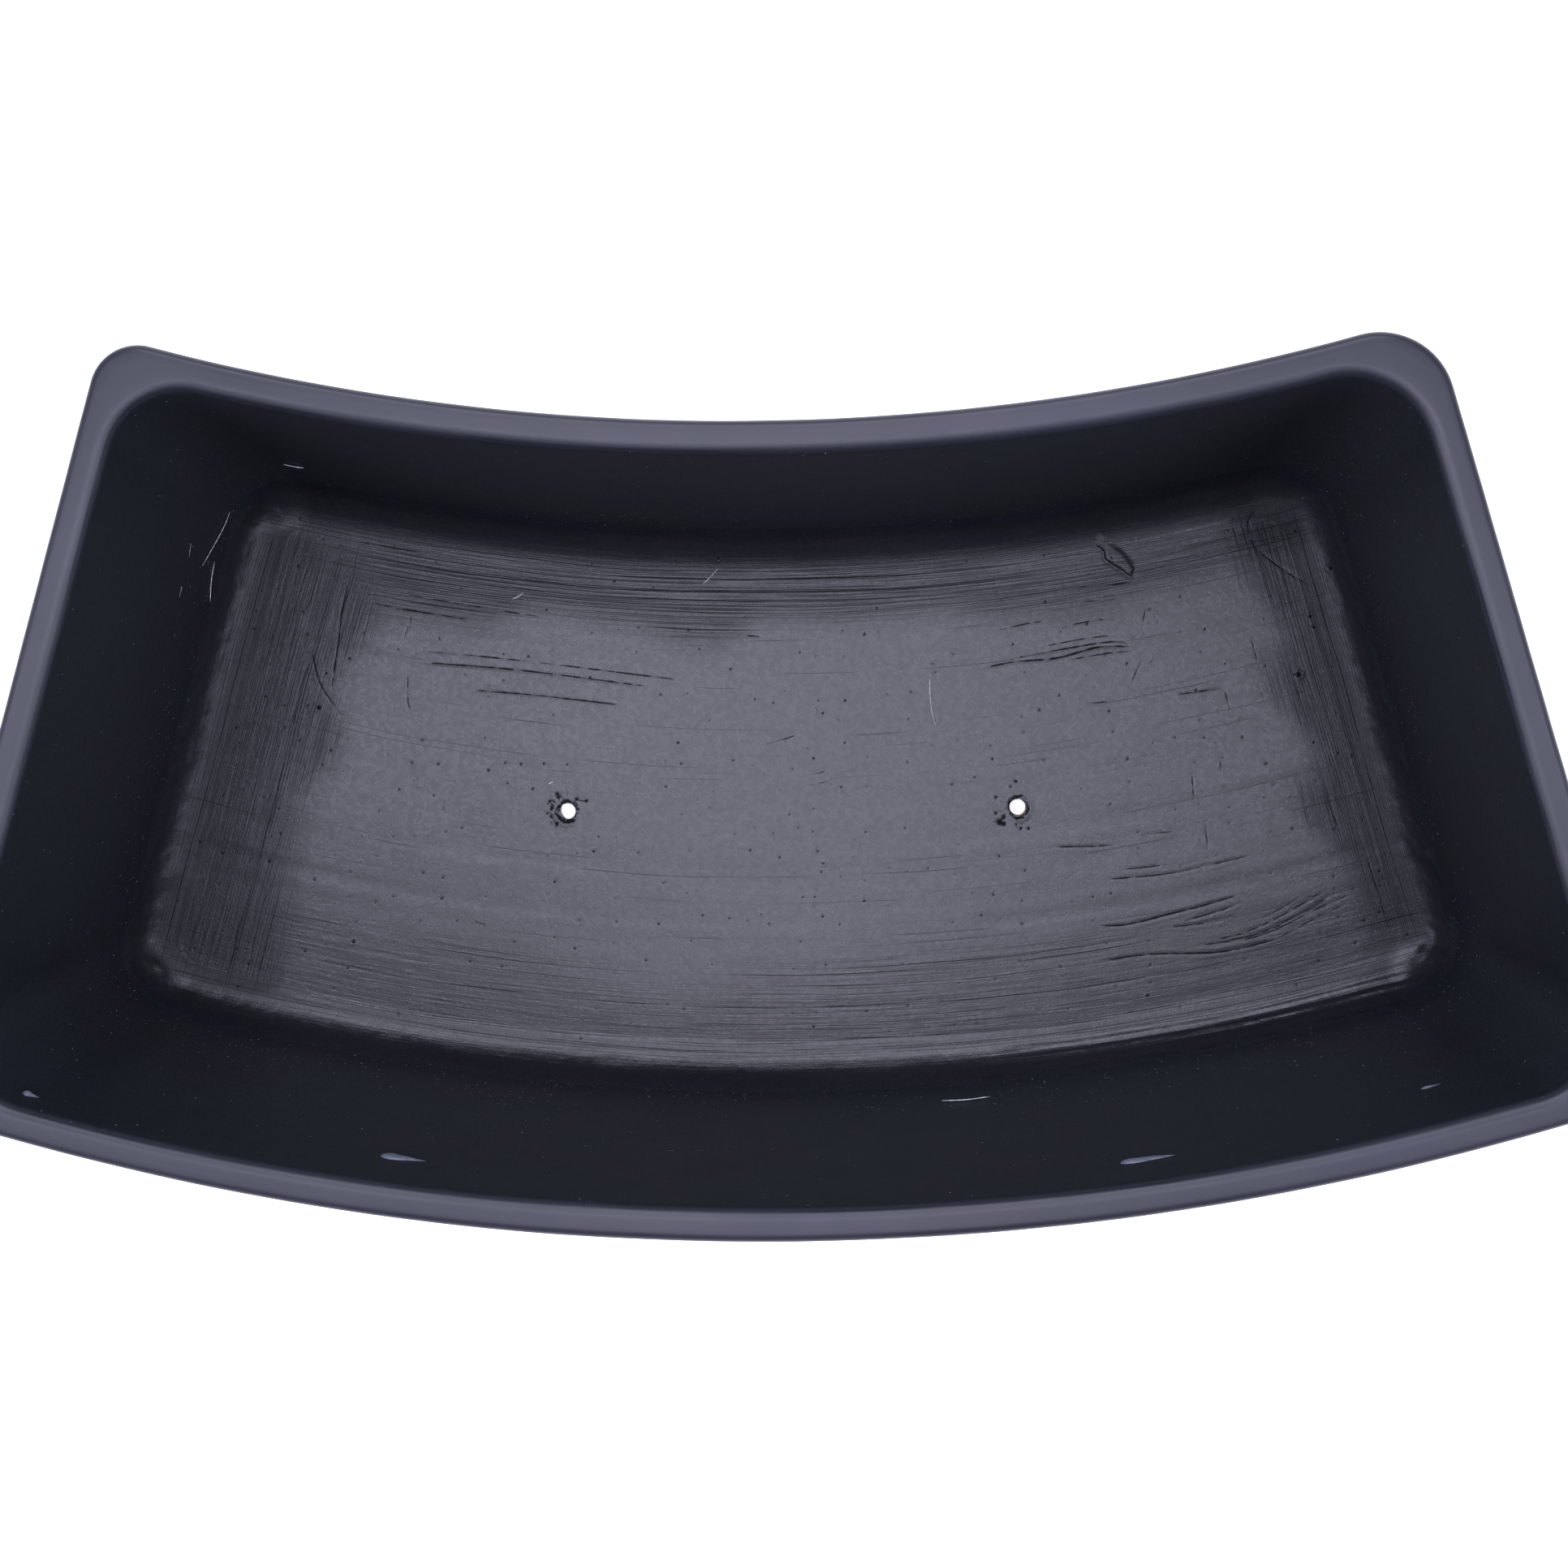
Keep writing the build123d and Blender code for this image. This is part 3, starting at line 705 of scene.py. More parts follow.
    # lifted flake
    fl = in_poly(x, ym, FLAKE)
    jag = 0.35 * vnoise(x / 1.3, y / 1.3, 88)
    dark_side = (x - 133) * 0.6 + (ym - 83) * 0.8 < 0
    inside = sstep(-0.1, np.where(dark_side, 0.8, 2.2), fl + np.where(dark_side, jag, 0))
    u = ((x - 133) * 0.82 - (ym - 83) * 0.57)
    v = ((x - 133) * 0.57 + (ym - 83) * 0.82)
    dome = 0.16 + 0.30 * np.clip(1 - (v / 7.0) ** 2, 0, 1) - 0.035 * v
    h = h * (1 - 0.9 * inside) + inside * dome
    h -= 0.14 * np.exp(-((fl + 0.6) / 0.5) ** 2) * np.where(dark_side, 1.0, 0.0)
    # pits, their bottoms also painted dark through g as shade
    for px, py, pr, pd in PITS:
        pr, pd = 0.62 * pr, 0.7 * pd
        r2 = ((x - px) ** 2 + (ym - py) ** 2)
        m = r2 < (pr * 5) ** 2
        r = np.sqrt(r2[m]) * (1 + 0.25 * vnoise(x[m] / 0.9, y[m] / 0.9, 93))
        h[m] += -pd * np.exp(-(r / (pr * 0.62)) ** 2) + 0.35 * pd * np.exp(-((r - pr * 1.25) / (0.5 * pr)) ** 2)
        g[m] = np.maximum(g[m], 1.1 * np.exp(-(r / (pr * 0.6)) ** 2))
    # small pits, from a jittered grid, also painted dark through g as shade
    for cell, dens, rad, dep, seed in ((9.0, 0.42, 0.40, 0.16, 402),):
        ix, iy = np.floor(x / cell), np.floor(y / cell)
        on = hash01(ix, iy, seed) < dens
        cx = (ix + 0.2 + 0.6 * hash01(ix, iy, seed + 1)) * cell
        cy = (iy + 0.2 + 0.6 * hash01(ix, iy, seed + 2)) * cell
        rr2 = rad * (0.6 + 0.8 * hash01(ix, iy, seed + 3) ** 2)
        e = np.exp(-((x - cx) ** 2 + (y - cy) ** 2) / rr2 ** 2) * on * (hgt < 1)
        h -= dep * e
        g = np.maximum(g, 0.8 * e)
    chip = np.zeros_like(x)
    for k, (hx, hy) in enumerate(HOLES):
        r, t = np.hypot(x - hx, y - hy), np.arctan2(y - hy, x - hx)
        rag = hole_edge(k, t)
        side = 0.5 + 0.5 * np.cos(t - (math.pi * 1.12 if k == 0 else -0.35))
        out = HOLE_R + 0.10 + 0.75 * side + 0.55 * vnoise(t * 2.6 + 4 * k, r * 0 + 2, 121 + k) + 0.35 * vnoise(t * 7.5, r / 0.5, 131 + k)
        ringm = 1 - sstep(out - 0.22, out + 0.16, r)
        broken = vnoise(t * 5.5 + 4 * k, r / 0.55, 95 + k)
        # the ring round each hole sinks and is painted near black through g: painted shade at the hole's edge
        h += -0.30 * ringm * (0.7 + 0.6 * broken) + 0.10 * np.exp(-((r - out - 0.7) / 0.6) ** 2)
        g = np.maximum(g, ringm * np.clip(0.62 + 0.95 * broken, 0.08, 1.2))
        chip = np.maximum(chip, np.exp(-((r - rag - 0.25) / 0.35) ** 2) * (0.5 + 0.5 * np.cos(t + 0.9)) * (1.0 if k else 0.3))
        # scuffs round the hole: shallow dents, also painted darker through g as shade
        sc = np.exp(-((r - rag - 3.9) / 1.7) ** 2) * (0.5 + 0.5 * np.cos(t - (math.pi if k == 0 else math.pi * 1.25)))
        rad_l = np.clip(vnoise(t * 14, r / 2.2, 97 + k) - 0.15, 0, 1)
        h -= 0.14 * sc * rad_l
        g = np.maximum(g, sc * rad_l * 1.1)
    # small dents round the holes, painted dark through g as shade
    for cx, cy, cr in ((86.2, -23.7, 0.85), (87.9, -24.4, 0.80), (94.7, -26.2, 0.45), (98.0, -26.4, 0.48), (84.8, -20.2, 0.42), (84.9, -13.8, 0.42),
                       (93.0, -7.5, 0.45), (90.8, -9.5, 0.40), (-93.8, -16.0, 0.45), (-94.8, -13.8, 0.45), (-94.3, -19.7, 0.45), (-92.0, -22.5, 0.42),
                       (-91.8, -10.6, 0.50), (-83.8, -12.8, 0.45), (-79.9, -13.7, 0.48)):
        r = np.hypot(x - cx, ym - cy) * (1 + 0.4 * vnoise(x / 0.7, y / 0.7, 99))
        e = np.exp(-(r / cr) ** 2)
        h -= 0.35 * e
        g = np.maximum(g, e * 1.2)
    return h, np.clip(g, 0, 1.3), chip, dense, (df, sf, dn, sn, dl, s_l, dr, sr), (m_far, m_near, m_left, m_right)


def hole_edge(k, t):
    """The layer's ragged edge round a hole."""
    c, s = np.cos(t) * 1.9 + 11 * k, np.sin(t) * 1.9
    side = 0.5 + 0.5 * np.cos(t - (math.pi * 0.95 if k == 0 else -0.2))
    return HOLE_R - 0.80 + 0.10 * side + 0.16 * np.clip(fbm(c * 1.6, s * 1.6, 83 + k, 3), -0.5, 1)


def coat_rows(bld, counts, n_rows, lower=0.0):
    """Rings from the floor's edge to the layer's upper edge; lower sinks them under the casting's surface."""
    hs, ns, uvs, loops, prev = [], [], [], [], None
    h_tan = COVE_R * (1 - math.sin(DL))
    n_cove = n_rows - 4
    hh_all = [COVE_R * (1 - math.cos(f * math.acos(1 - h_tan / COVE_R * 0.995))) for f in np.linspace(0, 1, n_cove)]
    hh_all += list(np.linspace(h_tan, COAT_TOP, 4) + 0.001)
    run = 0.0
    d_last = (0.0, 0.0)
    P0 = None
    for k, hh in enumerate(hh_all):
        dl, de = cove_d(hh, DL), cove_d(hh, DE)
        shrink = -(de + hh * math.tan(DE)) if hh < COVE_R * (1 - math.sin(DE)) else 0.0
        P, N, W = ring(FOOT_L + dl, FOOT_E + de, tuple(r + shrink for r in R_IN_F), tuple(r + shrink for r in R_IN_N), counts, Z_FLOOR + hh)
        if P0 is None:
            P0, d0, h0 = P, dl, hh
        else:
            run += math.hypot(dl - d_last[0], hh - d_last[1])
        d_last = (dl, hh)
        slope = math.asin(min(1, max(0, (COVE_R - hh) / COVE_R))) if hh < COVE_R else 0.0
        n3 = np.column_stack([-N * math.cos(slope), np.full(len(N), math.sin(slope))])
        idx = bld.add(P - n3 * lower)
        loops.append(idx)
        hs.append(np.full(len(P), hh))
        ns.append(n3)
        uvs.append(P0[:, :2] + N * run)
        if prev is not None:
            bld.band(idx, prev) if not lower else bld.band(prev, idx)
        prev = idx
    return hs, ns, uvs, loops


def build_coat():
    b = Build()
    heights, normals, uvs, loops = coat_rows(b, CC, 52)
    V = b.verts()
    n0 = b.n
    cells = 24
    hl = patch(b, loops[0], V[loops[0]], CC, HOLES, up=True, cells=cells, rings=(12), hole_r=hole_edge)
    base = b.verts()
    heights.append(np.zeros(b.n - n0))
    normals.append(np.tile([0.0, 0, 1], (b.n - n0, 1)))
    uvs.append(base[n0:, :2])
    hgt = np.concatenate(heights)
    nrm = np.concatenate(normals)
    uvp = np.concatenate(uvs)
    rel, recess_shade, chip, dense, bc, ms = coat_relief(base[:, 0], base[:, 1], hgt)
    chans = scratch_channels(base[:, 0], base[:, 1])
    # feathered upper edge
    feather = 1 - sstep(12, 20.0, hgt + 2.4 * fbm(base[:, 0] / 8, base[:, 1] / 8, 12, 2))
    t = COAT_T * feather - 0.25 * (1 - feather) + rel * (0.2 + 0.8 * feather)
    t = np.where(hgt > COAT_TOP - 0.3, -0.30, t)
    t = np.where(hgt < 12, np.maximum(t, 0.06), t)
    top = base + nrm * t[:, None]
    top[:, 2] = np.maximum(top[:, 2], Z_FLOOR + 0.02)
    b.v = [top]
    n_top = len(top)
    # the hole's edge rounds over and goes down to the casting
    extra = []
    skirt_last = []
    for idx, cp, tt in hl:
        edge = top[idx].copy()
        hc = np.array(HOLES[len(skirt_last)])
        prev = idx
        for drop, inset in ((0.22, -0.05), (0.55, 0.02), (1.0, 0.12)):
            q = edge.copy()
            q[:, :2] = hc + (q[:, :2] - hc) * (1 - inset / HOLE_R)
            q[:, 2] = np.maximum(Z_FLOOR - 0.35, edge[:, 2] - drop)
            cur = b.add(q)
            b.band(prev, cur)
            extra.append(idx)
            prev = cur
        q = edge.copy()
        q[:, :2] = hc + (q[:, :2] - hc) * (1 - 0.10 / HOLE_R)
        q[:, 2] = Z_FLOOR - 0.4
        cur = b.add(q)
        b.band(prev, cur)
        extra.append(idx)
        skirt_last.append((cur, q))
    n_main = b.n
    # closed underneath by a coarser sheet just under the casting's surface
    cc = tuple(c // 4 for c in CC)
    b2_start = b.n
    hs2, ns2, uv2, loops2 = coat_rows(b, cc, 12, lower=0.4)
    V2 = b.verts()
    n1 = b.n
    low = patch(b, loops2[0], V2[loops2[0]], cc, HOLES, up=False, cells=cells // 4, rings=2, hole_r=lambda k, t: hole_edge(k, t) + 0.0)
    V3 = b.verts()
    uv_low = np.vstack([np.concatenate(uv2), V3[n1:, :2]])
    b.bridge(loops[-1], loops2[-1], 4, flip=True)
    for (fi, fq), (ci, cp, ct) in zip(skirt_last, low):
        hc = fq[:, :2].mean(0)
        ft = np.arctan2(fq[:, 1] - hc[1], fq[:, 0] - hc[0])
        k = int(np.argmin(np.abs((ft - ct[0] + math.pi) % (2 * math.pi) - math.pi)))
        b.bridge(np.roll(fi, -k), ci, 4, flip=False)
    verts, quads, tris = b.verts(), b.quads(), np.concatenate(b.t)
    n_low = len(verts) - n_main

    def ext(a, fill=0.0):
        tail = [a[i] for i in extra] + [np.full((n_low,) + a.shape[1:], fill)]
        return np.concatenate([a] + tail)

    df, sf, dn, sn, dl, s_l, dr, sr = bc
    m_far, m_near, m_left, m_right = ms
    arrs = dict(
        bfar=ext(np.column_stack([sf, df, m_far])),
        bnear=ext(np.column_stack([sn, dn, m_near])),
        bend=ext(np.column_stack([np.where(dl < dr, s_l, sr + 300), np.where(dl < dr, dl, dr), np.maximum(m_left, m_right)])),
        recess_shade=ext(recess_shade), chip=ext(chip), dense=ext(dense), rise=ext(hgt / COAT_TOP))
    for k, c in enumerate(chans):
        arrs["line%d" % k] = ext(c)
    uvt = np.concatenate([uvp] + [uvp[i] for i in extra])
    uv_main = np.column_stack([0.01 + 0.98 * (uvt[:, 0] + 305) / 610, 0.06 + 0.93 * (uvt[:, 1] + 178) / 356])
    uv_under = np.column_stack([0.01 + 0.98 * (uv_low[:, 0] + 305) / 610, 0.003 + 0.05 * (uv_low[:, 1] + 178) / 356])
    arrs["_uv"] = np.vstack([uv_main, uv_under])
    keys = list(arrs)
    verts, quads, vals, tris = drop_unused(verts, quads, *[arrs[k] for k in keys], tris=tris)
    return verts, quads, tris, dict(zip(keys, vals))


verts, quads, tris, arrs = build_coat()
uv = arrs.pop("_uv")
coat = make_mesh("brushed_sealer_layer", verts, quads, tris, attrs=arrs, uv=uv)
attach(coat, "root")
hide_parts("floor_sealer_coat")


# ---------------------------------------------------------------------------
# Small things: paint drips on the walls, and glass fibres that stand out of the casting.
# ---------------------------------------------------------------------------
def near_wall(s_mm, z):
    """A point on the convex side's inner wall and its inward normal; s_mm runs along the length."""
    r = NEAR_R - RIM_T - SL * (Z_TOP - z)
    a = s_mm / NEAR_R
    p = np.array([r * math.sin(a), NEAR_C[1] + Y0 - r * math.cos(a), z])
    n = np.array([-math.sin(a), math.cos(a), math.tan(DL)])
    return p, n / np.linalg.norm(n)


def drip(name, s0, z0, length, width, height, tail, seed):
    """A bead of paint that ran a little: a low rounded blob on the wall with a tapering tail along the length."""
    nu, nv = 56, 22
    P, Q = [], []
    b = Build()
    rows = []
    for i in range(nu):
        u = i / (nu - 1)
        # width profile: fat head, thin tail
        head = math.sqrt(max(0.0, 1 - ((u - 0.24) / 0.24) ** 2)) if u < 0.24 else (1 - (u - 0.24) / 0.76) ** tail
        w = width * (head * 0.94 + 0.02) * (1 + 0.10 * float(vnoise(np.array([u * 7.0]), np.array([seed * 1.0]), seed)[0]))
        row = []
        for j in range(nv):
            v = j / (nv - 1) * 2 - 1
            s = s0 + (u - 0.24) * length
            z = z0 + v * w / 2 - 0.10 * length * (u ** 1.4) * 0.5
            p, n = near_wall(s, z)
            t = height * head ** 0.7 * (1 - v * v) ** 0.75
            t *= 1 + 0.12 * float(vnoise(np.array([s / 3.0]), np.array([z / 3.0]), seed + 3)[0])
            row.append(p + n * (t - 0.45))
        rows.append(b.add(np.array(row)))
    for a, c in zip(rows[:-1], rows[1:]):
        b.band(a, c, closed=False)
    # closed underneath, inside the wall
    back = []
    for i in range(nu):
        pts = b.v[i]
        back.append(b.add(pts * 0 + pts - near_wall(s0, z0)[1] * 0.9))
    for a, c in zip(back[:-1], back[1:]):
        b.band(c, a, closed=False)
    f = np.array([r[0] for r in rows]), np.array([r[0] for r in back])
    l = np.array([r[-1] for r in rows]), np.array([r[-1] for r in back])
    b.band(f[1], f[0], closed=False)
    b.band(l[0], l[1], closed=False)
    b.band(rows[0], back[0], closed=False)
    b.band(back[-1], rows[-1], closed=False)
    ob = make_mesh(name, b.verts(), b.quads())
    fix_normals(ob)
    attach(ob, "root")
    return ob


def fix_normals(ob):
    import bmesh
    bm = bmesh.new()
    bm.from_mesh(ob.data)
    bmesh.ops.recalc_face_normals(bm, faces=bm.faces)
    bm.to_mesh(ob.data)
    bm.free()
    ob.data.polygons.foreach_set("use_smooth", np.ones(len(ob.data.polygons), bool))
    ob.data.update()


drips = [
    drip("paint_drip_a", -137.5, 156.5, 19.0, 6.4, 2.0, 1.2, 3),
    drip("paint_drip_b", 127.5, 161.0, 20.0, 5.0, 1.6, 0.7, 5),
    drip("paint_drip_c", 237.0, 142.5, 10.0, 3.0, 1.0, 0.8, 7),
    drip("paint_drip_d", -267.0, 171.5, 9.0, 4.6, 1.6, 2.0, 11),
]


def fibre(name, pts, r=0.16, bulge=0.4):
    """A single glass fibre, tapered to its tips."""
    line = smooth_line(np.asarray(pts, float), 10)
    b = Build()
    n = len(line)
    tan = np.gradient(line, axis=0)
    tan /= np.linalg.norm(tan, axis=1)[:, None]
    side = np.cross(tan, [0.13, 0.21, 1.0])
    side /= np.linalg.norm(side, axis=1)[:, None]
    up = np.cross(side, tan)
    prev = None
    a = np.linspace(0, 2 * math.pi, 8, endpoint=False)
    rings = []
    for i in range(n):
        f = i / (n - 1)
        rr = r * (0.35 + 0.65 * min(1.0, 5 * min(f, 1 - f)))
        ringp = line[i] + rr * (np.cos(a)[:, None] * side[i] + np.sin(a)[:, None] * up[i])
        idx = b.add(ringp)
        if prev is not None:
            b.band(prev, idx)
        prev = idx
        rings.append(idx)
    quads = b.quads()
    V = b.verts()
    tris = []
    c0, c1 = len(V), len(V) + 1
    V = np.vstack([V, line[0], line[-1]])
    for k in range(8):
        tris.append([c0, rings[0][(k + 1) % 8], rings[0][k]])
        tris.append([c1, rings[-1][k], rings[-1][(k + 1) % 8]])
    ob = make_mesh(name, V, quads, tris)
    fix_normals(ob)
    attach(ob, "root")
    return ob


FZ = Z_FLOOR + COAT_T
fibres = [
    fibre("glass_fibre_a", [[-216.3, 106.6, 41.0], [-218.3, 100.3, 43.7], [-220.8, 92.8, 50.0], [-223.6, 84.8, 56.9]], 0.15),
    fibre("glass_fibre_b", [[-222.2, 86.8, 43.7], [-224.6, 79.5, 39.6], [-226.0, 71.4, 36.5]], 0.15),
    fibre("glass_fibre_c", [[-222.8, 92.3, 77.3], [-224.3, 87.2, 74.6]], 0.15),
    fibre("glass_fibre_d", [[-227.2, 76.1, 75.1], [-228.7, 72.2, 72.6]], 0.2),
    fibre("glass_fibre_e", [[-189.0, 122.6, 67.0], [-184.6, 121.6, 68.5], [-181.1, 121.0, 68.8]], 0.18),
    fibre("glass_fibre_f", [[61.1, -125.8, 56.0], [70.5, -125.2, 57.6], [79.9, -124.3, 55.9]], 0.16),
    fibre("glass_fibre_g", [[59.0, 39.9, FZ + 0.5], [58.8, 32.8, FZ + 0.35], [59.5, 24.8, FZ + 0.5], [61.1, 18.8, FZ + 0.5]], 0.11),
    fibre("glass_fibre_h", [[-108.7, 71.8, FZ + 0.45], [-106.0, 72.8, FZ + 0.5], [-103.7, 74.5, FZ + 0.5]], 0.15),
    fibre("glass_fibre_i", [[-31.8, 76.7, FZ + 0.5], [-28.4, 79.8, FZ + 0.6], [-25.5, 83.1, FZ + 0.6]], 0.10),
    fibre("glass_fibre_j", [[-94.9, -2.8, FZ + 0.5], [-94.0, -2.3, FZ + 0.6], [-93.1, -1.9, FZ + 0.5]], 0.26),
]


# ---------------------------------------------------------------------------
# Materials
# ---------------------------------------------------------------------------
RIM_A, RIM_B, RIM_C = (0.015, 0.016, 0.023), (0.021, 0.022, 0.032), (0.018, 0.020, 0.031)
WALL_A, WALL_B, WALL_C = (0.0058, 0.0080, 0.0105), (0.0105, 0.0135, 0.0175), (0.0080, 0.0110, 0.0150)
COAT_A, COAT_B, COAT_C = (0.0090, 0.0088, 0.0112), (0.0135, 0.0130, 0.0168), (0.0065, 0.0064, 0.0080)


class Nodes:
    def __init__(self, name):
        self.mat = bpy.data.materials.new(name)
        self.mat.use_nodes = True
        self.nt = self.mat.node_tree
        self.nt.nodes.clear()
        self.out = self.nt.nodes.new("ShaderNodeOutputMaterial")
        self.bsdf = self.nt.nodes.new("ShaderNodeBsdfPrincipled")
        self.nt.links.new(self.bsdf.outputs[0], self.out.inputs[0])
        self.tc = self.nt.nodes.new("ShaderNodeTexCoord")

    def link(self, a, b):
        self.nt.links.new(a, b)

    def val(self, x):
        return x

    def _in(self, sock, x):
        if isinstance(x, (int, float)):
            sock.default_value = x
        elif isinstance(x, tuple):
            sock.default_value = x if len(x) == len(sock.default_value) else (*x, 1.0)[:len(sock.default_value)]
        else:
            self.link(x, sock)

    def math(self, op, a, b=None, c=None, clamp=False):
        n = self.nt.nodes.new("ShaderNodeMath")
        n.operation = op
        n.use_clamp = clamp
        self._in(n.inputs[0], a)
        if b is not None:
            self._in(n.inputs[1], b)
        if c is not None:
            self._in(n.inputs[2], c)
        return n.outputs[0]

    def attr(self, name, kind="Fac"):
        n = self.nt.nodes.new("ShaderNodeAttribute")
        n.attribute_name = name
        return n.outputs[kind]

    def sep(self, v):
        n = self.nt.nodes.new("ShaderNodeSeparateXYZ")
        self.link(v, n.inputs[0])
        return n.outputs

    def comb(self, x, y, z):
        n = self.nt.nodes.new("ShaderNodeCombineXYZ")
        for s, v in zip(n.inputs, (x, y, z)):
            self._in(s, v)
        return n.outputs[0]

    def noise(self, vec, scale, detail=2.0, rough=0.5, dist=0.0):
        n = self.nt.nodes.new("ShaderNodeTexNoise")
        self.link(vec, n.inputs["Vector"])
        n.inputs["Scale"].default_value = scale
        n.inputs["Detail"].default_value = detail
        n.inputs["Roughness"].default_value = rough
        n.inputs["Distortion"].default_value = dist
        return n.outputs["Fac"]

    def voronoi(self, vec, scale, feature="F1", out="Distance", rand=1.0):
        n = self.nt.nodes.new("ShaderNodeTexVoronoi")
        n.feature = feature
        self.link(vec, n.inputs["Vector"])
        n.inputs["Scale"].default_value = scale
        n.inputs["Randomness"].default_value = rand
        return n.outputs[out]

    def ramp(self, x, lo, hi, a=0.0, b=1.0):
        n = self.nt.nodes.new("ShaderNodeMapRange")
        n.interpolation_type = "SMOOTHSTEP"
        self._in(n.inputs["Value"], x)
        n.inputs["From Min"].default_value = lo
        n.inputs["From Max"].default_value = hi
        n.inputs["To Min"].default_value = a
        n.inputs["To Max"].default_value = b
        return n.outputs[0]

    def mix(self, f, a, b):
        n = self.nt.nodes.new("ShaderNodeMix")
        n.data_type = "RGBA"
        self._in(n.inputs[0], f)
        self._in(n.inputs[6], a)
        self._in(n.inputs[7], b)
        return n.outputs[2]

    def bump(self, h, strength, distance, normal=None):
        n = self.nt.nodes.new("ShaderNodeBump")
        n.inputs["Strength"].default_value = strength
        n.inputs["Distance"].default_value = distance
        self.link(h, n.inputs["Height"])
        if normal is not None:
            self.link(normal, n.inputs["Normal"])
        return n.outputs[0]


def paint_material():
    """Sprayed charcoal paint: satin and smooth on the rim and outside, drier and speckled inside, bare grey casting underneath."""
    m = Nodes("charcoal_paint")
    obj = m.tc.outputs["Object"]
    inside, under, height = m.attr("inside"), m.attr("under"), m.attr("height")
    cloud = m.noise(obj, 9.0, 3.0, 0.55)
    cloud2 = m.noise(obj, 38.0, 3.0, 0.6)
    grain = m.noise(obj, 900.0, 2.0, 0.6)
    peel = m.noise(obj, 260.0, 2.0, 0.5)
    col = m.mix(m.ramp(cloud, 0.3, 0.7), RIM_A, RIM_B)
    col = m.mix(m.ramp(cloud2, 0.35, 0.75, 0.0, 0.5), col, RIM_C)
    dry = m.mix(m.ramp(grain, 0.35, 0.7), WALL_A, WALL_B)
    dry = m.mix(m.ramp(cloud, 0.42, 0.66, 0.0, 0.6), dry, WALL_C)
    wall = m.ramp(inside, 0.35, 0.98)
    col = m.mix(wall, col, dry)
    # pale specks: dust and overspray, thick near the foot of the walls
    low = m.ramp(height, 0.18, 0.75, 1.0, 0.0)
    pale = None
    for scale, thr, gain, r0 in ((430.0, 0.988, 0.15, 0.20), (820.0, 0.985, 0.13, 0.30)):
        cell = m.voronoi(obj, scale)
        pick = m.sep(m.voronoi(obj, scale, out="Color"))
        t = m.math("MULTIPLY_ADD", low, -gain, thr)
        sp = m.math("MULTIPLY", m.math("GREATER_THAN", pick[0], t), m.ramp(cell, r0 * 0.5, r0, 1.0, 0.0))
        sp = m.math("MULTIPLY", sp, m.math("POWER", pick[1], 2.0))
        pale = sp if pale is None else m.math("MAXIMUM", pale, sp)
    speck = m.math("MULTIPLY", pale, wall)
    col = m.mix(m.math("MULTIPLY", speck, 0.8), col, (0.36, 0.37, 0.38))
    # bare casting underneath
    cem = m.mix(m.ramp(m.noise(obj, 60.0, 4.0, 0.6), 0.3, 0.7), (0.10, 0.098, 0.094), (0.17, 0.165, 0.155))
    over = m.ramp(m.noise(obj, 26.0, 3.0, 0.6), 0.42, 0.58)
    col = m.mix(m.math("MULTIPLY", under, over), col, cem)
    m._in(m.bsdf.inputs["Base Color"], col)
    rough = m.ramp(cloud2, 0.2, 0.8, 0.40, 0.47)
    rough = m.math("ADD", rough, m.math("MULTIPLY", wall, 0.08))
    rough = m.math("ADD", rough, m.math("MULTIPLY", under, 0.25), clamp=True)
    m._in(m.bsdf.inputs["Roughness"], rough)
    m.bsdf.inputs["Specular IOR Level"].default_value = 0.5
    sand = m.math("MULTIPLY", m.noise(obj, 1400.0, 2.0, 0.6), m.math("MULTIPLY_ADD", wall, 0.85, 0.15))
    stip = m.math("MULTIPLY", peel, m.math("MULTIPLY_ADD", wall, 0.7, 0.30))
    hgt = m.math("ADD", m.math("MULTIPLY", sand, 0.35), m.math("MULTIPLY", stip, 0.5))
    hgt = m.math("ADD", hgt, m.math("MULTIPLY", speck, 0.8))
    m.link(m.bump(hgt, 0.55, 0.00025), m.bsdf.inputs["Normal"])
    return m.mat


